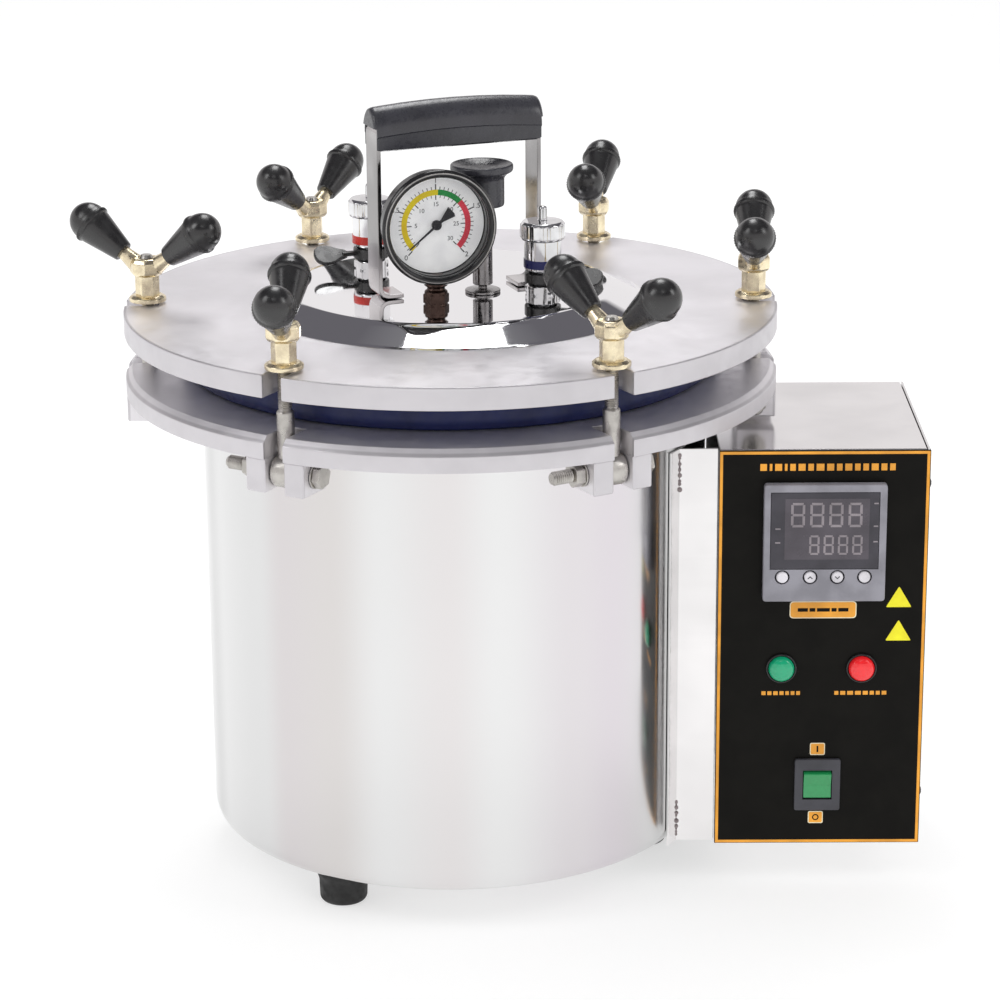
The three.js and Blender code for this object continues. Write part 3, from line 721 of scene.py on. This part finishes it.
def handle_strip():
    """A flat strip bent up from two feet on the dome and across under the grip."""
    t, top, width = HANDLE["strip"], HANDLE["top"] - HANDLE["strip"] / 2, HANDLE["width"]
    m = HANDLE["half"] - t / 2
    seat = DOME_TOP + 0.3 + t / 2
    foot = HANDLE["foot"] - 8
    path = fillet([(-m + foot, seat), (-m, seat), (-m, top), (m, top), (m, seat), (m - foot, seat)], 6, 8)
    left = []
    right = []
    for i, point in enumerate(path):
        before = Vector(path[max(i - 1, 0)])
        after = Vector(path[min(i + 1, len(path) - 1)])
        along = (after - before).normalized()
        normal = Vector((-along.y, along.x)) * t / 2
        left.append(tuple(Vector(point) + normal))
        right.append(tuple(Vector(point) - normal))
    strip = bevelled(extruded(left + right[::-1], -width / 2, width / 2), 0.5)
    piece("handle_strip", moved(strip, HANDLE_PLACE @ turn("X", 90)), "vessel", STRIP,
          ["handle_bracket"])


def grip_outline(share):
    """The grip's cross-section at a share of its half length: a half-round crown over a lower band."""
    inset = 1.6 if abs(share) == 1 else (0.5 if abs(share) > 0.98 else 0)
    crown = GRIP_TOP - 2.8 * share * share - inset
    low = GRIP_BOTTOM + inset
    wide = GRIP_HALF_DEPTH - inset
    shoulder = crown - 15.5
    band = wide - 1.0
    outline = [(-band + 1.2, low), (band - 1.2, low), (band, low + 1.2), (band, shoulder - 1.0)]
    outline += [(wide, shoulder)]
    outline += [(wide * math.cos(math.radians(q)), shoulder + 15.5 * math.sin(math.radians(q)))
                for q in range(10, 180, 10)]
    return outline + [(-wide, shoulder), (-band, shoulder - 1.0), (-band, low + 1.2)]


def handle_grip():
    half, t, low = HANDLE["half"], HANDLE["strip"], GRIP_BOTTOM - 5
    bm = bmesh.new()
    rings = []
    for share in [-1, -0.985, -0.95, -0.85, -0.6, -0.3, 0, 0.3, 0.6, 0.85, 0.95, 0.985, 1]:
        rings.append([bm.verts.new((share * (half + 1.5), y, z)) for y, z in grip_outline(share)])
    for one, two in zip(rings, rings[1:]):
        for k in range(len(one)):
            q = (k + 1) % len(one)
            bm.faces.new((one[k], one[q], two[q], two[k]))
    bm.faces.new(rings[0])
    bm.faces.new(rings[-1][::-1])
    cuts = []
    for x0, x1, y, top in [(half - t - 0.3, half + 0.1, 10.4, HANDLE["top"] + 0.3),
                           (half, half + 9, 40, HANDLE["top"] - 2)]:
        cuts += [block(-x1, -x0, -y, y, low, top), block(x0, x1, -y, y, low, top)]
    piece("grip", moved(carved(bm, *cuts), HANDLE_PLACE), "vessel", GRIP, ["handle_grip"],
          crease=48)


# ---------------- pressure gauge
GAUGE_PLACE = move(GAUGE["x"], GAUGE["y"], GAUGE["z"]) @ turn("Z", GAUGE["yaw"]) @ turn("X", 90)
DIAL_START, DIAL_SWEEP = 226, 272
PRINT_Z = 2.1


def on_gauge(name, bm, material, replaces=(), body="vessel", spin=0):
    """A piece drawn about the gauge's own axis, with +Z out of the dial."""
    place = GAUGE_PLACE @ turn("Z", spin) if spin else GAUGE_PLACE
    piece(name, moved(bm, place), body, material, replaces)


def gauge_case():
    r, back, front = GAUGE["r"], -GAUGE["back"], GAUGE["front"]
    case = lathe([(0, back), (r - 5, back), (r - 2.2, back + 3), (r - 2.2, front - 3.2),
                  (r - 5, front - 3.2), (r - 5, 1), (0, 1)], 1.2, 4, 128)
    on_gauge("gauge_body", case, GLOSS_BLACK, ["gauge_case"])
    z = DOME_TOP - 0.1
    stem = lathe([(0, z - 3), (6.8, z - 3), (6.8, z + 7.5), (5.2, z + 8.5), (5.2, z + 10), (7.0, z + 11),
                  (7.0, z + 12.6), (5.6, z + 13.4), (5.6, z + 15), (7.0, z + 16), (7.0, z + 18.5),
                  (0, z + 18.5)], 0.6, 2, 40)
    hexagon = moved(hex_piece(7.8, z + 0.4, z + 6), turn("Z", 10))
    piece("gauge_stem", moved(joined(stem, hexagon), move(GAUGE["x"], GAUGE["y"], 0)), "vessel",
          STEM)
    # Painted highlight: a thin dull-steel ring where a highlight line shows on the black rim.
    bright = lathe([(r - 2.1, front + 0.8), (r - 1.5, front + 0.8), (r - 1.4, front + 1.62),
                    (r - 2.2, front + 1.7)], 0.2, 2, 128, closed=True)
    on_gauge("gauge_rim_painted_highlight", bright, SCREW)
    rim = lathe([(r - 4.7, front - 2.7), (r, front - 2.7), (r, front - 0.4), (r - 1.6, front + 1.5),
                 (r - 3.6, front + 1.3), (r - 4.7, front - 0.6)], 0.9, 5, 128, closed=True)
    on_gauge("gauge_rim", rim, GLOSS_BLACK, ["gauge_bezel"])


def dial_arc(name, start, end, material):
    """A coloured band of the dial between two angles."""
    steps = max(4, int(abs(end - start) / 3))
    band = arc(20.7, start, end, steps) + arc(17.4, start, end, steps)[::-1]
    on_gauge(name, extruded(band, PRINT_Z - 0.05, PRINT_Z + 0.10), material)


def dial_ticks(count, every, r0, r1, long_r0, long_r1, half_width, long_half_width):
    """count + 1 ticks over the sweep, with every so many of them long."""
    ticks = []
    for k in range(count + 1):
        is_long = k % every == 0
        half = long_half_width if is_long else half_width
        low, high = (long_r0, long_r1) if is_long else (r0, r1)
        tick = block(low, high, -half, half, PRINT_Z - 0.05, PRINT_Z + 0.12)
        ticks.append(moved(tick, turn("Z", DIAL_START - DIAL_SWEEP * k / count)))
    return ticks


def number(name, word, radius, angle, size):
    """A printed number as a thin raised solid."""
    curve = bpy.data.curves.new(name, "FONT")
    curve.body = word
    curve.size = size
    curve.extrude = 0.07
    curve.align_x = "CENTER"
    curve.align_y = "CENTER"
    curve.resolution_u = 4
    obj = add_object(name, curve)
    bm = finished_mesh(obj)
    bpy.data.objects.remove(obj)
    bpy.data.curves.remove(curve)
    bmesh.ops.remove_doubles(bm, verts=bm.verts, dist=1e-4)
    x, y = polar(radius, angle)
    piece(name, moved(bm, GAUGE_PLACE @ move(x, y, 2.15)), "vessel", DIAL_INK)


def dial():
    r = GAUGE["dial_r"] - 0.4
    face = lathe([(0, 1.3), (r, 1.3), (r, PRINT_Z), (0, PRINT_Z)], 0.2, segments=96)
    on_gauge("dial_face", face, DIAL, ["gauge_dial"])
    dial_arc("dial_arc_low", DIAL_START, 86, DIAL_YELLOW)
    dial_arc("dial_arc_working", 86, 42, DIAL_GREEN)
    dial_arc("dial_arc_high", 42, DIAL_START - DIAL_SWEEP, DIAL_RED)
    ticks = dial_ticks(40, 10, 20.7, 22.4, 20.7, 24.0, 0.2, 0.32)
    ticks += dial_ticks(30, 5, 15.8, 17.4, 14.6, 17.4, 0.17, 0.28)
    on_gauge("dial_marks", joined(*ticks), DIAL_INK)
    for k, word in enumerate(["0", "0.5", "1", "1.5", "2"]):
        number(f"dial_outer_number_{k}", word, 26.0, DIAL_START - DIAL_SWEEP * k / 4, 4.2)
    for k in range(1, 7):
        number(f"dial_inner_number_{k}", str(5 * k), 12.0, DIAL_START - DIAL_SWEEP * k / 6, 3.6)


def needle_and_glass():
    blade = extruded([(-0.75, 0), (-0.35, 21.5), (0.35, 21.5), (0.75, 0), (1.0, -4), (3.4, -11.4),
                      (1.9, -12.2), (-1.9, -12.2), (-3.4, -11.4), (-1.0, -4)], 4, 4.5)
    hub = lathe([(0, 2.6), (2.9, 2.6), (2.9, 4.9), (2.2, 5.4), (0, 5.4)], 0.4, segments=40)
    pin = lathe([(0, 5.3), (1.0, 5.3), (1.0, 5.7), (0, 5.8)], 0.2, segments=24)
    on_gauge("needle_blade", joined(bevelled(blade, 0.1), hub, pin), DIAL_INK,
             ["gauge_needle"], "needle", 130)
    r, front = GAUGE["dial_r"] - 0.4, GAUGE["front"]
    pane = lathe([(0, front - 2), (r, front - 2), (r, front - 0.8), (0, front - 0.8)], 0.2, segments=96)
    on_gauge("gauge_pane", pane, GLASS, ["gauge_glass"])


# ---------------- valves
def weight_valve():
    """A nozzle with a lifting mushroom knob on it."""
    place = move(*WEIGHT_AT, 0)
    z = DOME_TOP
    nozzle = lathe([(0, z - 1), (10.5, z), (10.5, z + 1.6), (2.6, z + 2.2), (2.6, z + 4.2), (5.9, z + 4.9),
                    (5.9, z + 31), (3, z + 33.5), (3, z + 58), (0, z + 60)], 0.5, 3, 48)
    piece("nozzle", moved(nozzle, place), "vessel", NOZZLE, ["weight_valve_nozzle"])
    outside = fillet([(6.4, 408), (12.9, 408), (13.2, 409.4), (13.2, 424.6), (15.4, 427.2), (18.0, 428.6),
                      (18.5, 429.6), (18.5, 432.2), (17.4, 433), (15.6, 432.2), (9, 430.4), (0, 429.8)],
                     1.2, 4)
    hollow = [(0, 418), (3.4, 416), (3.4, 411), (6.4, 408)]
    piece("weight_knob", moved(turned(outside + hollow, 72), place), "weight", GRIP,
          ["weight_valve_weight"])


def dome_valve(prefix, valve, body, tip, band_material):
    """A chromed valve with a fluted cap, a coloured band and a black spoon lever tipped about its arm."""
    place = move(valve["x"], valve["y"], DOME_TOP + 0.2)
    base = lathe([(0, -2), (9.6, -2), (9.6, 5), (8, 6), (8, 13.4), (11, 14.2), (11, 32.8), (0, 32.8)], 0.8)
    lower = joined(base, hex_piece(10.6, 0.2, 4.8))
    piece(f"{prefix}_lower", moved(lower, place), "vessel", CHROME, [f"{prefix}_body"])
    cap = lathe([(0, 32.4), (12.6, 32.4), (13.1, 33.8), (13.1, 41.6), (11.8, 43.2), (3, 43.8), (2.8, 44.2),
                 (2.8, 51.0), (2.0, 52), (0, 52)], 0.6, 3, 96, ripple=(33.6, 41.9, 0.32, 16))
    piece(f"{prefix}_cap", moved(cap, place), "vessel", CHROME, crease=60)
    band = turned([(10.6, 15.8), (11.25, 15.9), (11.3, 16.4), (11.3, 20.4), (11.25, 20.9), (10.6, 21)],
                  64, closed=True)
    piece(f"{prefix}_band", moved(band, place), "vessel", band_material)
    collar = lathe([(8.5, 6.6), (10.8, 6.6), (10.8, 12.8), (8.5, 12.8)], 0.7, 3, 48, closed=True)
    bowl = fillet([(15, -2.6), (20, -4.2), (25, -7.4), (31, -8.2), (35.4, -5), (36.4, 0), (35.4, 5),
                   (31, 8.2), (25, 7.4), (20, 4.2), (15, 2.6)], 3, 4, closed=True)
    blade = moved(bevelled(extruded(bowl, -1.3, 1.3), 0.9, 3), move(0, 0, 9.7) @ turn("X", tip))
    arm = bevelled(block(9, 19, -2.6, 2.6, 8.4, 11), 0.9, 3)
    piece(f"{prefix}_spoon", moved(joined(collar, arm, blade), place @ turn("Z", valve["lever"])), body,
          BAKELITE, [f"{prefix}_lever"])


# ---------------- control box
BOX_RIGHT, BOX_BACK, BOX_TOP = BOX_X + BOX_W, BOX_Y + BOX_D, BOX_Z + BOX_H


def on_panel(x, z, out=0.0):
    """A matrix from a flat drawing (X across, Z up, -Y out) to a place on the front panel."""
    return move(BOX_X + x, PANEL_FRONT - out, BOX_Z + z)


def panel_piece(name, bm, x, z, material, out=0.0, replaces=()):
    piece(name, moved(bm, on_panel(x, z, out)), "vessel", material, replaces)


def box():
    """Bent sheet shell, side cover and the front film with its openings."""
    cover_x = BOX_RIGHT - SHEET
    shell = bevelled(block(BOX_X, cover_x - 0.3, BOX_Y, BOX_BACK, BOX_Z, BOX_TOP), 1.2, 3)
    hollow = block(BOX_X + SHEET, BOX_RIGHT + 5, BOX_Y - 5, BOX_BACK - SHEET, BOX_Z + SHEET, BOX_TOP - SHEET)
    gland_hole = moved(turned([(0, -5), (6.4, -5), (6.4, 5), (0, 5)], 32),
                       move(GLAND_X, BOX_BACK, GLAND_Z) @ turn("X", -90))
    piece("box_wrap", carved(shell, hollow, gland_hole), "vessel", BOX_STEEL, ["box_shell"])
    cover = bevelled(block(cover_x, BOX_RIGHT, BOX_Y, BOX_BACK, BOX_Z, BOX_TOP), 0.5, 2)
    piece("box_cover", cover, "vessel", COVER_STEEL, ["box_side_cover"])
    film = bevelled(block(BOX_X, BOX_RIGHT, PANEL_FRONT, PANEL_FRONT + 2, BOX_Z, BOX_TOP), 0.4, 2)
    holes = [block(BOX_X + x - half_w, BOX_X + x + half_w, PANEL_FRONT - 3, PANEL_FRONT + 5,
                   BOX_Z + z - half_h, BOX_Z + z + half_h)
             for x, z, half_w, half_h in [(CONTROLLER_X, CONTROLLER_Z, 33.6, 33.6),
                                          (SWITCH_X, SWITCH_Z, 11.5, 14.5)]]
    piece("panel_film", carved(film, *holes), "vessel", PANEL, ["front_panel"])


def cover_screws():
    """Four small cross-head screws in the side cover."""
    places = [(BOX_BACK - 7, BOX_TOP - 8), (BOX_BACK - 7, BOX_Z + 30), (BOX_Y + 8, BOX_TOP - 23),
              (BOX_Y + 8, BOX_Z + 30)]
    for n, (y, z) in enumerate(places):
        head = turned([(0, -1), (3.1, -1), (3.2, 0.1), (2.9, 0.9), (2.2, 1.5), (1.1, 1.9), (0, 2.0)], 32)
        screw = carved(head, block(-0.45, 0.45, -2.2, 2.2, 1.1, 3), block(-2.2, 2.2, -0.45, 0.45, 1.1, 3))
        piece(f"cover_screw_{n + 1}", moved(screw, move(BOX_RIGHT, y, z) @ turn("Y", 90)), "vessel",
              DARK_SCREW)


def bracket():
    """A saddle on the drum and two plates out to the box, with a short weld at each end of each plate."""
    y_plate = -BOX_Y - 2.5
    r_in = DRUM_R + 0.3
    r_out = r_in + 1.5
    reach = math.degrees(math.asin(y_plate / r_out)) + 4
    section = arc(r_out, -reach, reach, 40) + arc(r_in, reach, -reach, 40)
    saddle = bevelled(extruded(section, BOX_Z, BOX_TOP), 0.35, 2)
    x_drum = math.sqrt(r_out**2 - y_plate**2) - 0.6
    plates = []
    for side in (-1, 1):
        y0, y1 = sorted((side * y_plate, side * (y_plate - 1.5)))
        plates.append(bevelled(block(x_drum, BOX_X - 0.3, y0, y1, BOX_Z, BOX_TOP), 0.35, 2))
    piece("bracket_plates", joined(saddle, *plates), "vessel", BOX_STEEL,
          ["mounting_bracket"])
    for n in range(4):
        side = -1 if n < 2 else 1
        z = BOX_TOP - 25 if n % 2 else BOX_Z + 4
        piece(f"weld_bead_{n + 1}", weld_bead(n, x_drum + 0.3, side * (y_plate + 0.25), z), "vessel",
              WELD, crease=70)


def weld_bead(n, x0, y, z):
    """A row of uneven overlapping drops of metal."""
    drops = []
    for k in range(13):
        size = 0.75 + 0.40 * math.sin(2.7 * k + 1.3 * n)
        drop = turned([(0, -0.9 * size), (1.1 * size, -0.5 * size), (1.4 * size, 0),
                       (1.1 * size, 0.5 * size), (0, 0.9 * size)], 16)
        x = x0 + 0.35 * math.sin(4.1 * k + n)
        drops.append(moved(drop, move(x, y, z + 1.75 * k) @ turn("X", 90)))
    return joined(*drops)


# ---------------- printing on the panel
def border():
    """The printed rectangle round the panel."""
    margin, width, thickness = 0.5, 1.7, 0.12
    x1, z1 = BOX_W - margin, BOX_H - margin
    line = block(margin, x1, -thickness, 0, margin, z1)
    hole = block(margin + width, x1 - width, -thickness - 1, 1, margin + width, z1 - width)
    panel_piece("print_border", carved(line, hole), 0, 0, AMBER)


def words(name, x0, x1, z, height, widths):
    """Generic marks where the real panel has words: short blocks of uneven width."""
    gap = 0.9 if height < 4 else 1.5
    scale = (x1 - x0) / (sum(widths) + gap * (len(widths) - 1))
    x = x0
    blocks = []
    for width in widths:
        blocks.append(block(x, x + width * scale, -0.12, 0, z - height / 2, z + height / 2))
        x += (width + gap) * scale
    panel_piece(name, joined(*blocks), 0, 0, AMBER)


def label_plate(name, x, z, w, h, corner):
    """An amber label with a pale edge."""
    panel_piece(f"{name}_edge", rounded_plate(w, h, corner, 0.12), x, z, PALE_PRINT)
    panel_piece(name, rounded_plate(w - 1.1, h - 1.1, corner - 0.4, 0.2), x, z, AMBER)


def printing():
    border()
    words("print_title", 24, 103, 237.9, 4.2,
          [3.6, 1.4, 3.8, 1.4, 3.0, 3.8, 3.0, 4.2, 3.8, 3.0, 3.8, 3.0, 3.0, 3.8, 3.2, 3.0])
    words("print_process", 27, 50, 97, 2.4, [2.2, 2.2, 2.4, 2.2, 1.9, 2.0, 2.0])
    words("print_low_water", 70.5, 101.5, 97, 2.4, [1.9, 2.4, 2.8, 2.8, 2.4, 2.0, 1.9, 2.2])
    label_plate("print_controller_label", 62.6, 149.6, 39.5, 10.6, 2.4)
    dashes = [block(x, x + w, -0.26, 0, -1.1, 1.1)
              for x, w in [(-15, 6), (-8, 3.4), (-3.6, 7.6), (5, 3), (9, 6)]]
    panel_piece("print_controller_dashes", joined(*dashes), 62.6, 149.6, PANEL)
    label_plate("print_switch_top", 61.2, 61.1, 9, 7.8, 1.2)
    label_plate("print_switch_low", 60.9, 16.9, 9, 7.8, 1.2)
    panel_piece("print_switch_bar", block(-0.5, 0.5, -0.26, 0, -2, 2), 61.2, 61.1, PANEL)
    ring = moved(turned([(1.3, 0), (2.0, 0), (2.0, 0.26), (1.3, 0.26)], 32, closed=True), turn("X", 90))
    panel_piece("print_switch_ring", ring, 60.9, 16.9, PANEL)
    for n, (x, z) in enumerate([(107.3, 157.5), (107.5, 136.5)]):
        triangle = fillet([(-7.6, -6.4), (7.6, -6.4), (0, 6.6)], 1.0, 3, closed=True)
        panel_piece(f"print_triangle_{n + 1}", moved(extruded(triangle, 0, 0.15), turn("X", 90)), x, z,
                    YELLOW)


# ---------------- controller, lamps and switch
def seven_segments(x, z, w, h, t):
    """The seven bars of one digit, as flat blocks standing on y = 0."""
    left, right = x + t * 0.6, x + w - t * 0.6
    bars = [(left, right, z + h - t, z + h), (left, right, z + h / 2 - t / 2, z + h / 2 + t / 2),
            (left, right, z, z + t)]
    for low, high in ((z + t * 0.8, z + h / 2 - t * 0.4), (z + h / 2 + t * 0.4, z + h - t * 0.8)):
        bars += [(x, x + t, low, high), (x + w - t, x + w, low, high)]
    return [block(a, b, -0.1, 0, c, d) for a, b, c, d in bars]


def on_controller(name, bm, material, out, replaces=()):
    """A piece drawn about the middle of the controller."""
    panel_piece(name, bm, CONTROLLER_X, CONTROLLER_Z, material, out, replaces)


def controller():
    """Bezel with a window and four key wells, and the case behind the panel."""
    size, proud = CONTROLLER_SIZE, CONTROLLER_PROUD
    bezel = bevelled(rounded_plate(size, size, 2.2, proud), 0.8, 3)
    window_hole = block(-32.2, 31.8, -proud - 2, -proud + 1.8, -16, 31.6)
    well_r = KEY_R + 1.0
    wells = [moved(turned([(0, proud - 4), (well_r, proud - 4), (well_r, proud + 3), (0, proud + 3)], 32),
                   move(x - CONTROLLER_X, 0, KEY_Z - CONTROLLER_Z) @ turn("X", 90)) for x in KEY_X]
    on_controller("controller_bezel", carved(bezel, window_hole, *wells), GREY, 0.3,
                  ["controller_body"])
    on_controller("controller_case", block(-33.2, 33.2, 0.2, 70, -33.2, 33.2),
                  DARK_GREY, 0.0)
    for i, x in enumerate(KEY_X):
        seat_r = KEY_R + 0.9
        seat = turned([(0, proud - 4.2), (seat_r, proud - 4.2), (seat_r, proud - 3.1), (0, proud - 3.1)], 32)
        panel_piece(f"key_seat_{i + 1}", moved(seat, turn("X", 90)), x, KEY_Z, DARK_GREY)


def display():
    """The smoked pane, the display's face, its unlit digits and side marks."""
    cx, cz, proud = CONTROLLER_X, CONTROLLER_Z, CONTROLLER_PROUD
    pane = bevelled(block(-31.9, 31.5, -proud - 0.1, -proud + 1.6, -15.7, 31.3), 0.3, 2)
    on_controller("display_pane", pane, WINDOW, 0.0, ["controller_window"])
    face = block(38.5 - cx, 88 - cx, -0.12, 0.1, 183 - cz, 220.5 - cz)
    on_controller("display_face_plate", face, LCD_FACE, proud + 0.1)
    digits = []
    for k in range(4):
        digits += seven_segments(42 + 11.2 * k - cx, 203 - cz, 8.2, 15, 1.5)
    for k in range(4):
        digits += seven_segments(53 + 8.4 * k - cx, 186 - cz, 6.0, 12, 1.2)
    on_controller("display_digits", joined(*digits), SEGMENT, proud + 0.2)
    places = [(33, 3, 201.5), (33, 3, 193), (90.5, 2.6, 217), (90.5, 2.6, 203), (90.5, 2.6, 193.5)]
    marks = [moved(block(x, x + w, -0.12, 0.1, z, z + 0.9), move(-cx, 0, -cz)) for x, w, z in places]
    on_controller("display_side_marks", joined(*marks), SEGMENT, proud + 0.1)


def keys():
    """Four round keys, the middle two with an up and a down arrow."""
    proud = CONTROLLER_PROUD
    arrows = {1: [(-1, 45), (1, -45)], 2: [(-1, -45), (1, 45)]}
    for i, x in enumerate(KEY_X):
        body = f"key_{i + 1}"
        cap = lathe([(0, proud - 1.9), (KEY_R, proud - 1.9), (KEY_R, proud + 0.7),
                     (KEY_R - 0.6, proud + 1.25), (0, proud + 1.3)], 0.3, 3, 40)
        piece(f"key_cap_{i + 1}", moved(cap, on_panel(x, KEY_Z) @ turn("X", 90)), body,
              KEY_FACE, [body])
        if i in arrows:
            stroke = (-1.0, 1.0, -0.12, 0.1, -0.25, 0.25)
            bars = [moved(block(*stroke), move(0.62 * side, 0, 0) @ turn("Y", -lean))
                    for side, lean in arrows[i]]
            piece(f"key_arrow_{i + 1}", moved(joined(*bars), on_panel(x, KEY_Z, proud + 1.3)), body,
                  DARK_GREY)


def lamp(name, material):
    """A domed lens in a thin ring."""
    place = on_panel(*LAMP_AT[name]) @ turn("X", 90)
    ring = lathe([(7.9, 0.1), (9.3, 0.1), (9.3, 1.5), (8.8, 2.1), (8.2, 2.1), (7.9, 1.6)], 0.35, closed=True)
    piece(f"{name}_ring", moved(ring, place), "vessel", GLOSS_BLACK)
    lens = lathe([(0, -6), (6.1, -6), (6.1, 0.15), (7.7, 0.3), (7.7, 2.8), (6.7, 4.8), (4, 6.2), (0, 6.7)],
                 1.0, 4)
    piece(f"{name}_lens", moved(lens, place), "vessel", material, [name])


def power_switch():
    """A rocker in a bezel, with a well behind it."""
    shell = bevelled(rounded_plate(SWITCH_W, SWITCH_H, 1.6, 2.6), 0.6, 3)
    opening = block(-8.8, 8.8, -6, 3, -9.4, 9.4)
    panel_piece("switch_bezel", carved(shell, opening), SWITCH_X, SWITCH_Z, DARK_GREY,
                replaces=["switch_frame"])
    well = carved(block(-10.9, 10.9, -0.6, 12, -13.8, 13.8), block(-8.9, 8.9, -3, 9, -9.5, 9.5))
    panel_piece("switch_well", well, SWITCH_X, SWITCH_Z, GLOSS_BLACK)
    side = fillet([(-8.2, 3.2), (0, 1.5), (8.2, 3.2), (8.2, -3), (-8.2, -3)], 1.2, 4, closed=True)
    rocker = bevelled(extruded([(-out, v) for v, out in side], -8.3, 8.3), 0.4, 2)
    rocker = moved(rocker, turn("Z", 90) @ turn("X", 90))
    place = on_panel(SWITCH_X, SWITCH_Z) @ move(0, -0.6, 0) @ turn("X", SWITCH_TILT)
    piece("rocker_cap", moved(rocker, place), "rocker", ROCKER, ["switch_rocker"])


def gland():
    """The mains gland at the back of the box."""
    sleeve = lathe([(3.6, -7), (6, -7), (6, 6), (9, 6.2), (9, 9), (7.6, 15), (6, 18), (3.6, 18)], 0.6, 3, 48,
                   closed=True, ripple=(6.3, 14, 0.25, 12))
    nut = carved(hex_piece(10.5, 0.3, 6.5), turned([(0, -2), (5.8, -2), (5.8, 9), (0, 9)], 32))
    inner = carved(hex_piece(10, -6.3, -1.8), turned([(0, -9), (5.8, -9), (5.8, 2), (0, 2)], 32))
    place = move(GLAND_X, BOX_BACK, GLAND_Z) @ turn("X", -90)
    piece("gland_body", moved(joined(sleeve, nut, inner), place), "vessel", RUBBER,
          ["mains_gland"])


# ---------------- the whole object
for make in (drum, flange, gasket, feet, lid, dome, clamps, handle_strip, handle_grip, gauge_case, dial,
             needle_and_glass, weight_valve):
    make()
dome_valve("steam_valve", STEAM_VALVE, "steam_lever", 32, BLUE_BAND)
dome_valve("safety_valve", SAFETY_VALVE, "safety_lever", -32, RED_BAND)
for make in (box, cover_screws, bracket, printing, controller, display, keys):
    make()
lamp("process_lamp", GREEN_LENS)
lamp("low_water_lamp", RED_LENS)
power_switch()
gland()
finish_node("heating_element", SHEATH)
finish_node("sensor_probe", SHEATH)
finish_node("rack", INNER_STEEL)
finish_node("basket", INNER_STEEL)
finish_node("power_relay", DARK_GREY, 1.0)


# ---------------- camera, floor and light
def camera():
    pitch = math.radians(17.52)
    yaw = math.radians(-0.471)
    roll = math.radians(-0.412)
    ahead = Vector((math.sin(yaw), math.cos(yaw), 0))
    right = Vector((math.cos(yaw), -math.sin(yaw), 0))
    look = ahead * math.cos(pitch) - Vector((0, 0, 1)) * math.sin(pitch)
    up = ahead * math.sin(pitch) + Vector((0, 0, 1)) * math.cos(pitch)
    x_axis = right * math.cos(roll) + up * math.sin(roll)
    y_axis = -right * math.sin(roll) + up * math.cos(roll)
    data = bpy.data.cameras.new("camera")
    data.lens = 118.6
    data.sensor_width = 36
    obj = add_object("camera", data)
    turned_to = Matrix((x_axis, y_axis, -look)).transposed().to_4x4()
    obj.matrix_world = Matrix.Translation((0.0179, -1.9169, 0.8252)) @ turned_to
    bpy.context.scene.camera = obj


def floor():
    """A plain pale floor, lit a little by itself so that it stays even."""
    mesh = bpy.data.meshes.new("floor")
    mesh.from_pydata([(-9, -9, 0), (9, -9, 0), (9, 9, 0), (-9, 9, 0)], [], [(0, 1, 2, 3)])
    s = Surface("pale_floor", (0.50, 0.50, 0.50), 0.7, Emission_Strength=0.56)
    s.bsdf.inputs["Emission Color"].default_value = (1, 1, 1, 1)
    s.bsdf.inputs["Specular IOR Level"].default_value = 0.1
    s.vary_color(s.noise(0.8, 2), 0.97, 1.0)
    mesh.materials.append(s.material)
    add_object("floor", mesh)


def area(name, place, size, power, target=(0, 0, 0.2)):
    """A soft rectangular light aimed at a target, in metres and watts."""
    data = bpy.data.lights.new(name, "AREA")
    data.shape = "RECTANGLE"
    data.size, data.size_y = size
    data.energy = power
    obj = add_object(name, data)
    obj.location = place
    obj.rotation_euler = (Vector(target) - Vector(place)).to_track_quat("-Z", "Y").to_euler()


def choose_by_ray(tree, ray, others, chosen):
    """One colour for one kind of ray and another for the rest; each is a colour or a node's socket."""
    path = tree.nodes.new("ShaderNodeLightPath")
    mix = tree.nodes.new("ShaderNodeMix")
    mix.data_type = "RGBA"
    tree.links.new(path.outputs[ray], mix.inputs["Factor"])
    sockets = [socket for socket in mix.inputs if socket.type == "RGBA"]
    for socket, value in zip(sockets, (others, chosen)):
        if isinstance(value, tuple):
            socket.default_value = (*value, 1)
        else:
            tree.links.new(value, socket)
    return next(socket for socket in mix.outputs if socket.type == "RGBA")


def world():
    """An even white room for the floor, and for reflections a white horizon under a dark ceiling."""
    studio = bpy.data.worlds.new("studio")
    bpy.context.scene.world = studio
    studio.use_nodes = True
    tree = studio.node_tree
    background = tree.nodes["Background"]
    coords = tree.nodes.new("ShaderNodeTexCoord")
    split = tree.nodes.new("ShaderNodeSeparateXYZ")
    tree.links.new(coords.outputs["Generated"], split.inputs[0])
    ramp = tree.nodes.new("ShaderNodeValToRGB")
    white = (0.86, 0.835, 0.84)
    dark = (0.13, 0.125, 0.14)
    fill_ramp(ramp, [(0.0, white), (0.385, white), (0.435, dark), (0.8, dark), (1.0, (0.3, 0.3, 0.31))])
    tree.links.new(split.outputs["Z"], ramp.inputs["Fac"])
    room = choose_by_ray(tree, "Is Glossy Ray", rgb(0.85), ramp.outputs["Color"])
    seen = choose_by_ray(tree, "Is Camera Ray", room, rgb(1))
    tree.links.new(seen, background.inputs["Color"])
    background.inputs["Strength"].default_value = 1.0


camera()
floor()
world()
area("softbox_over", (-0.02, 0.92, 1.66), (0.50, 1.15), 10, (-0.02, 0.919, 0))
area("softbox_left", (-1.5, -0.8, 1.7), (0.7, 0.9), 7)
area("softbox_right", (1.7, -0.7, 1.5), (0.6, 0.8), 5)
area("softbox_front", (0.1, -2.2, 2.8), (0.9, 0.5), 3)
bpy.context.scene.view_settings.view_transform = "Standard"
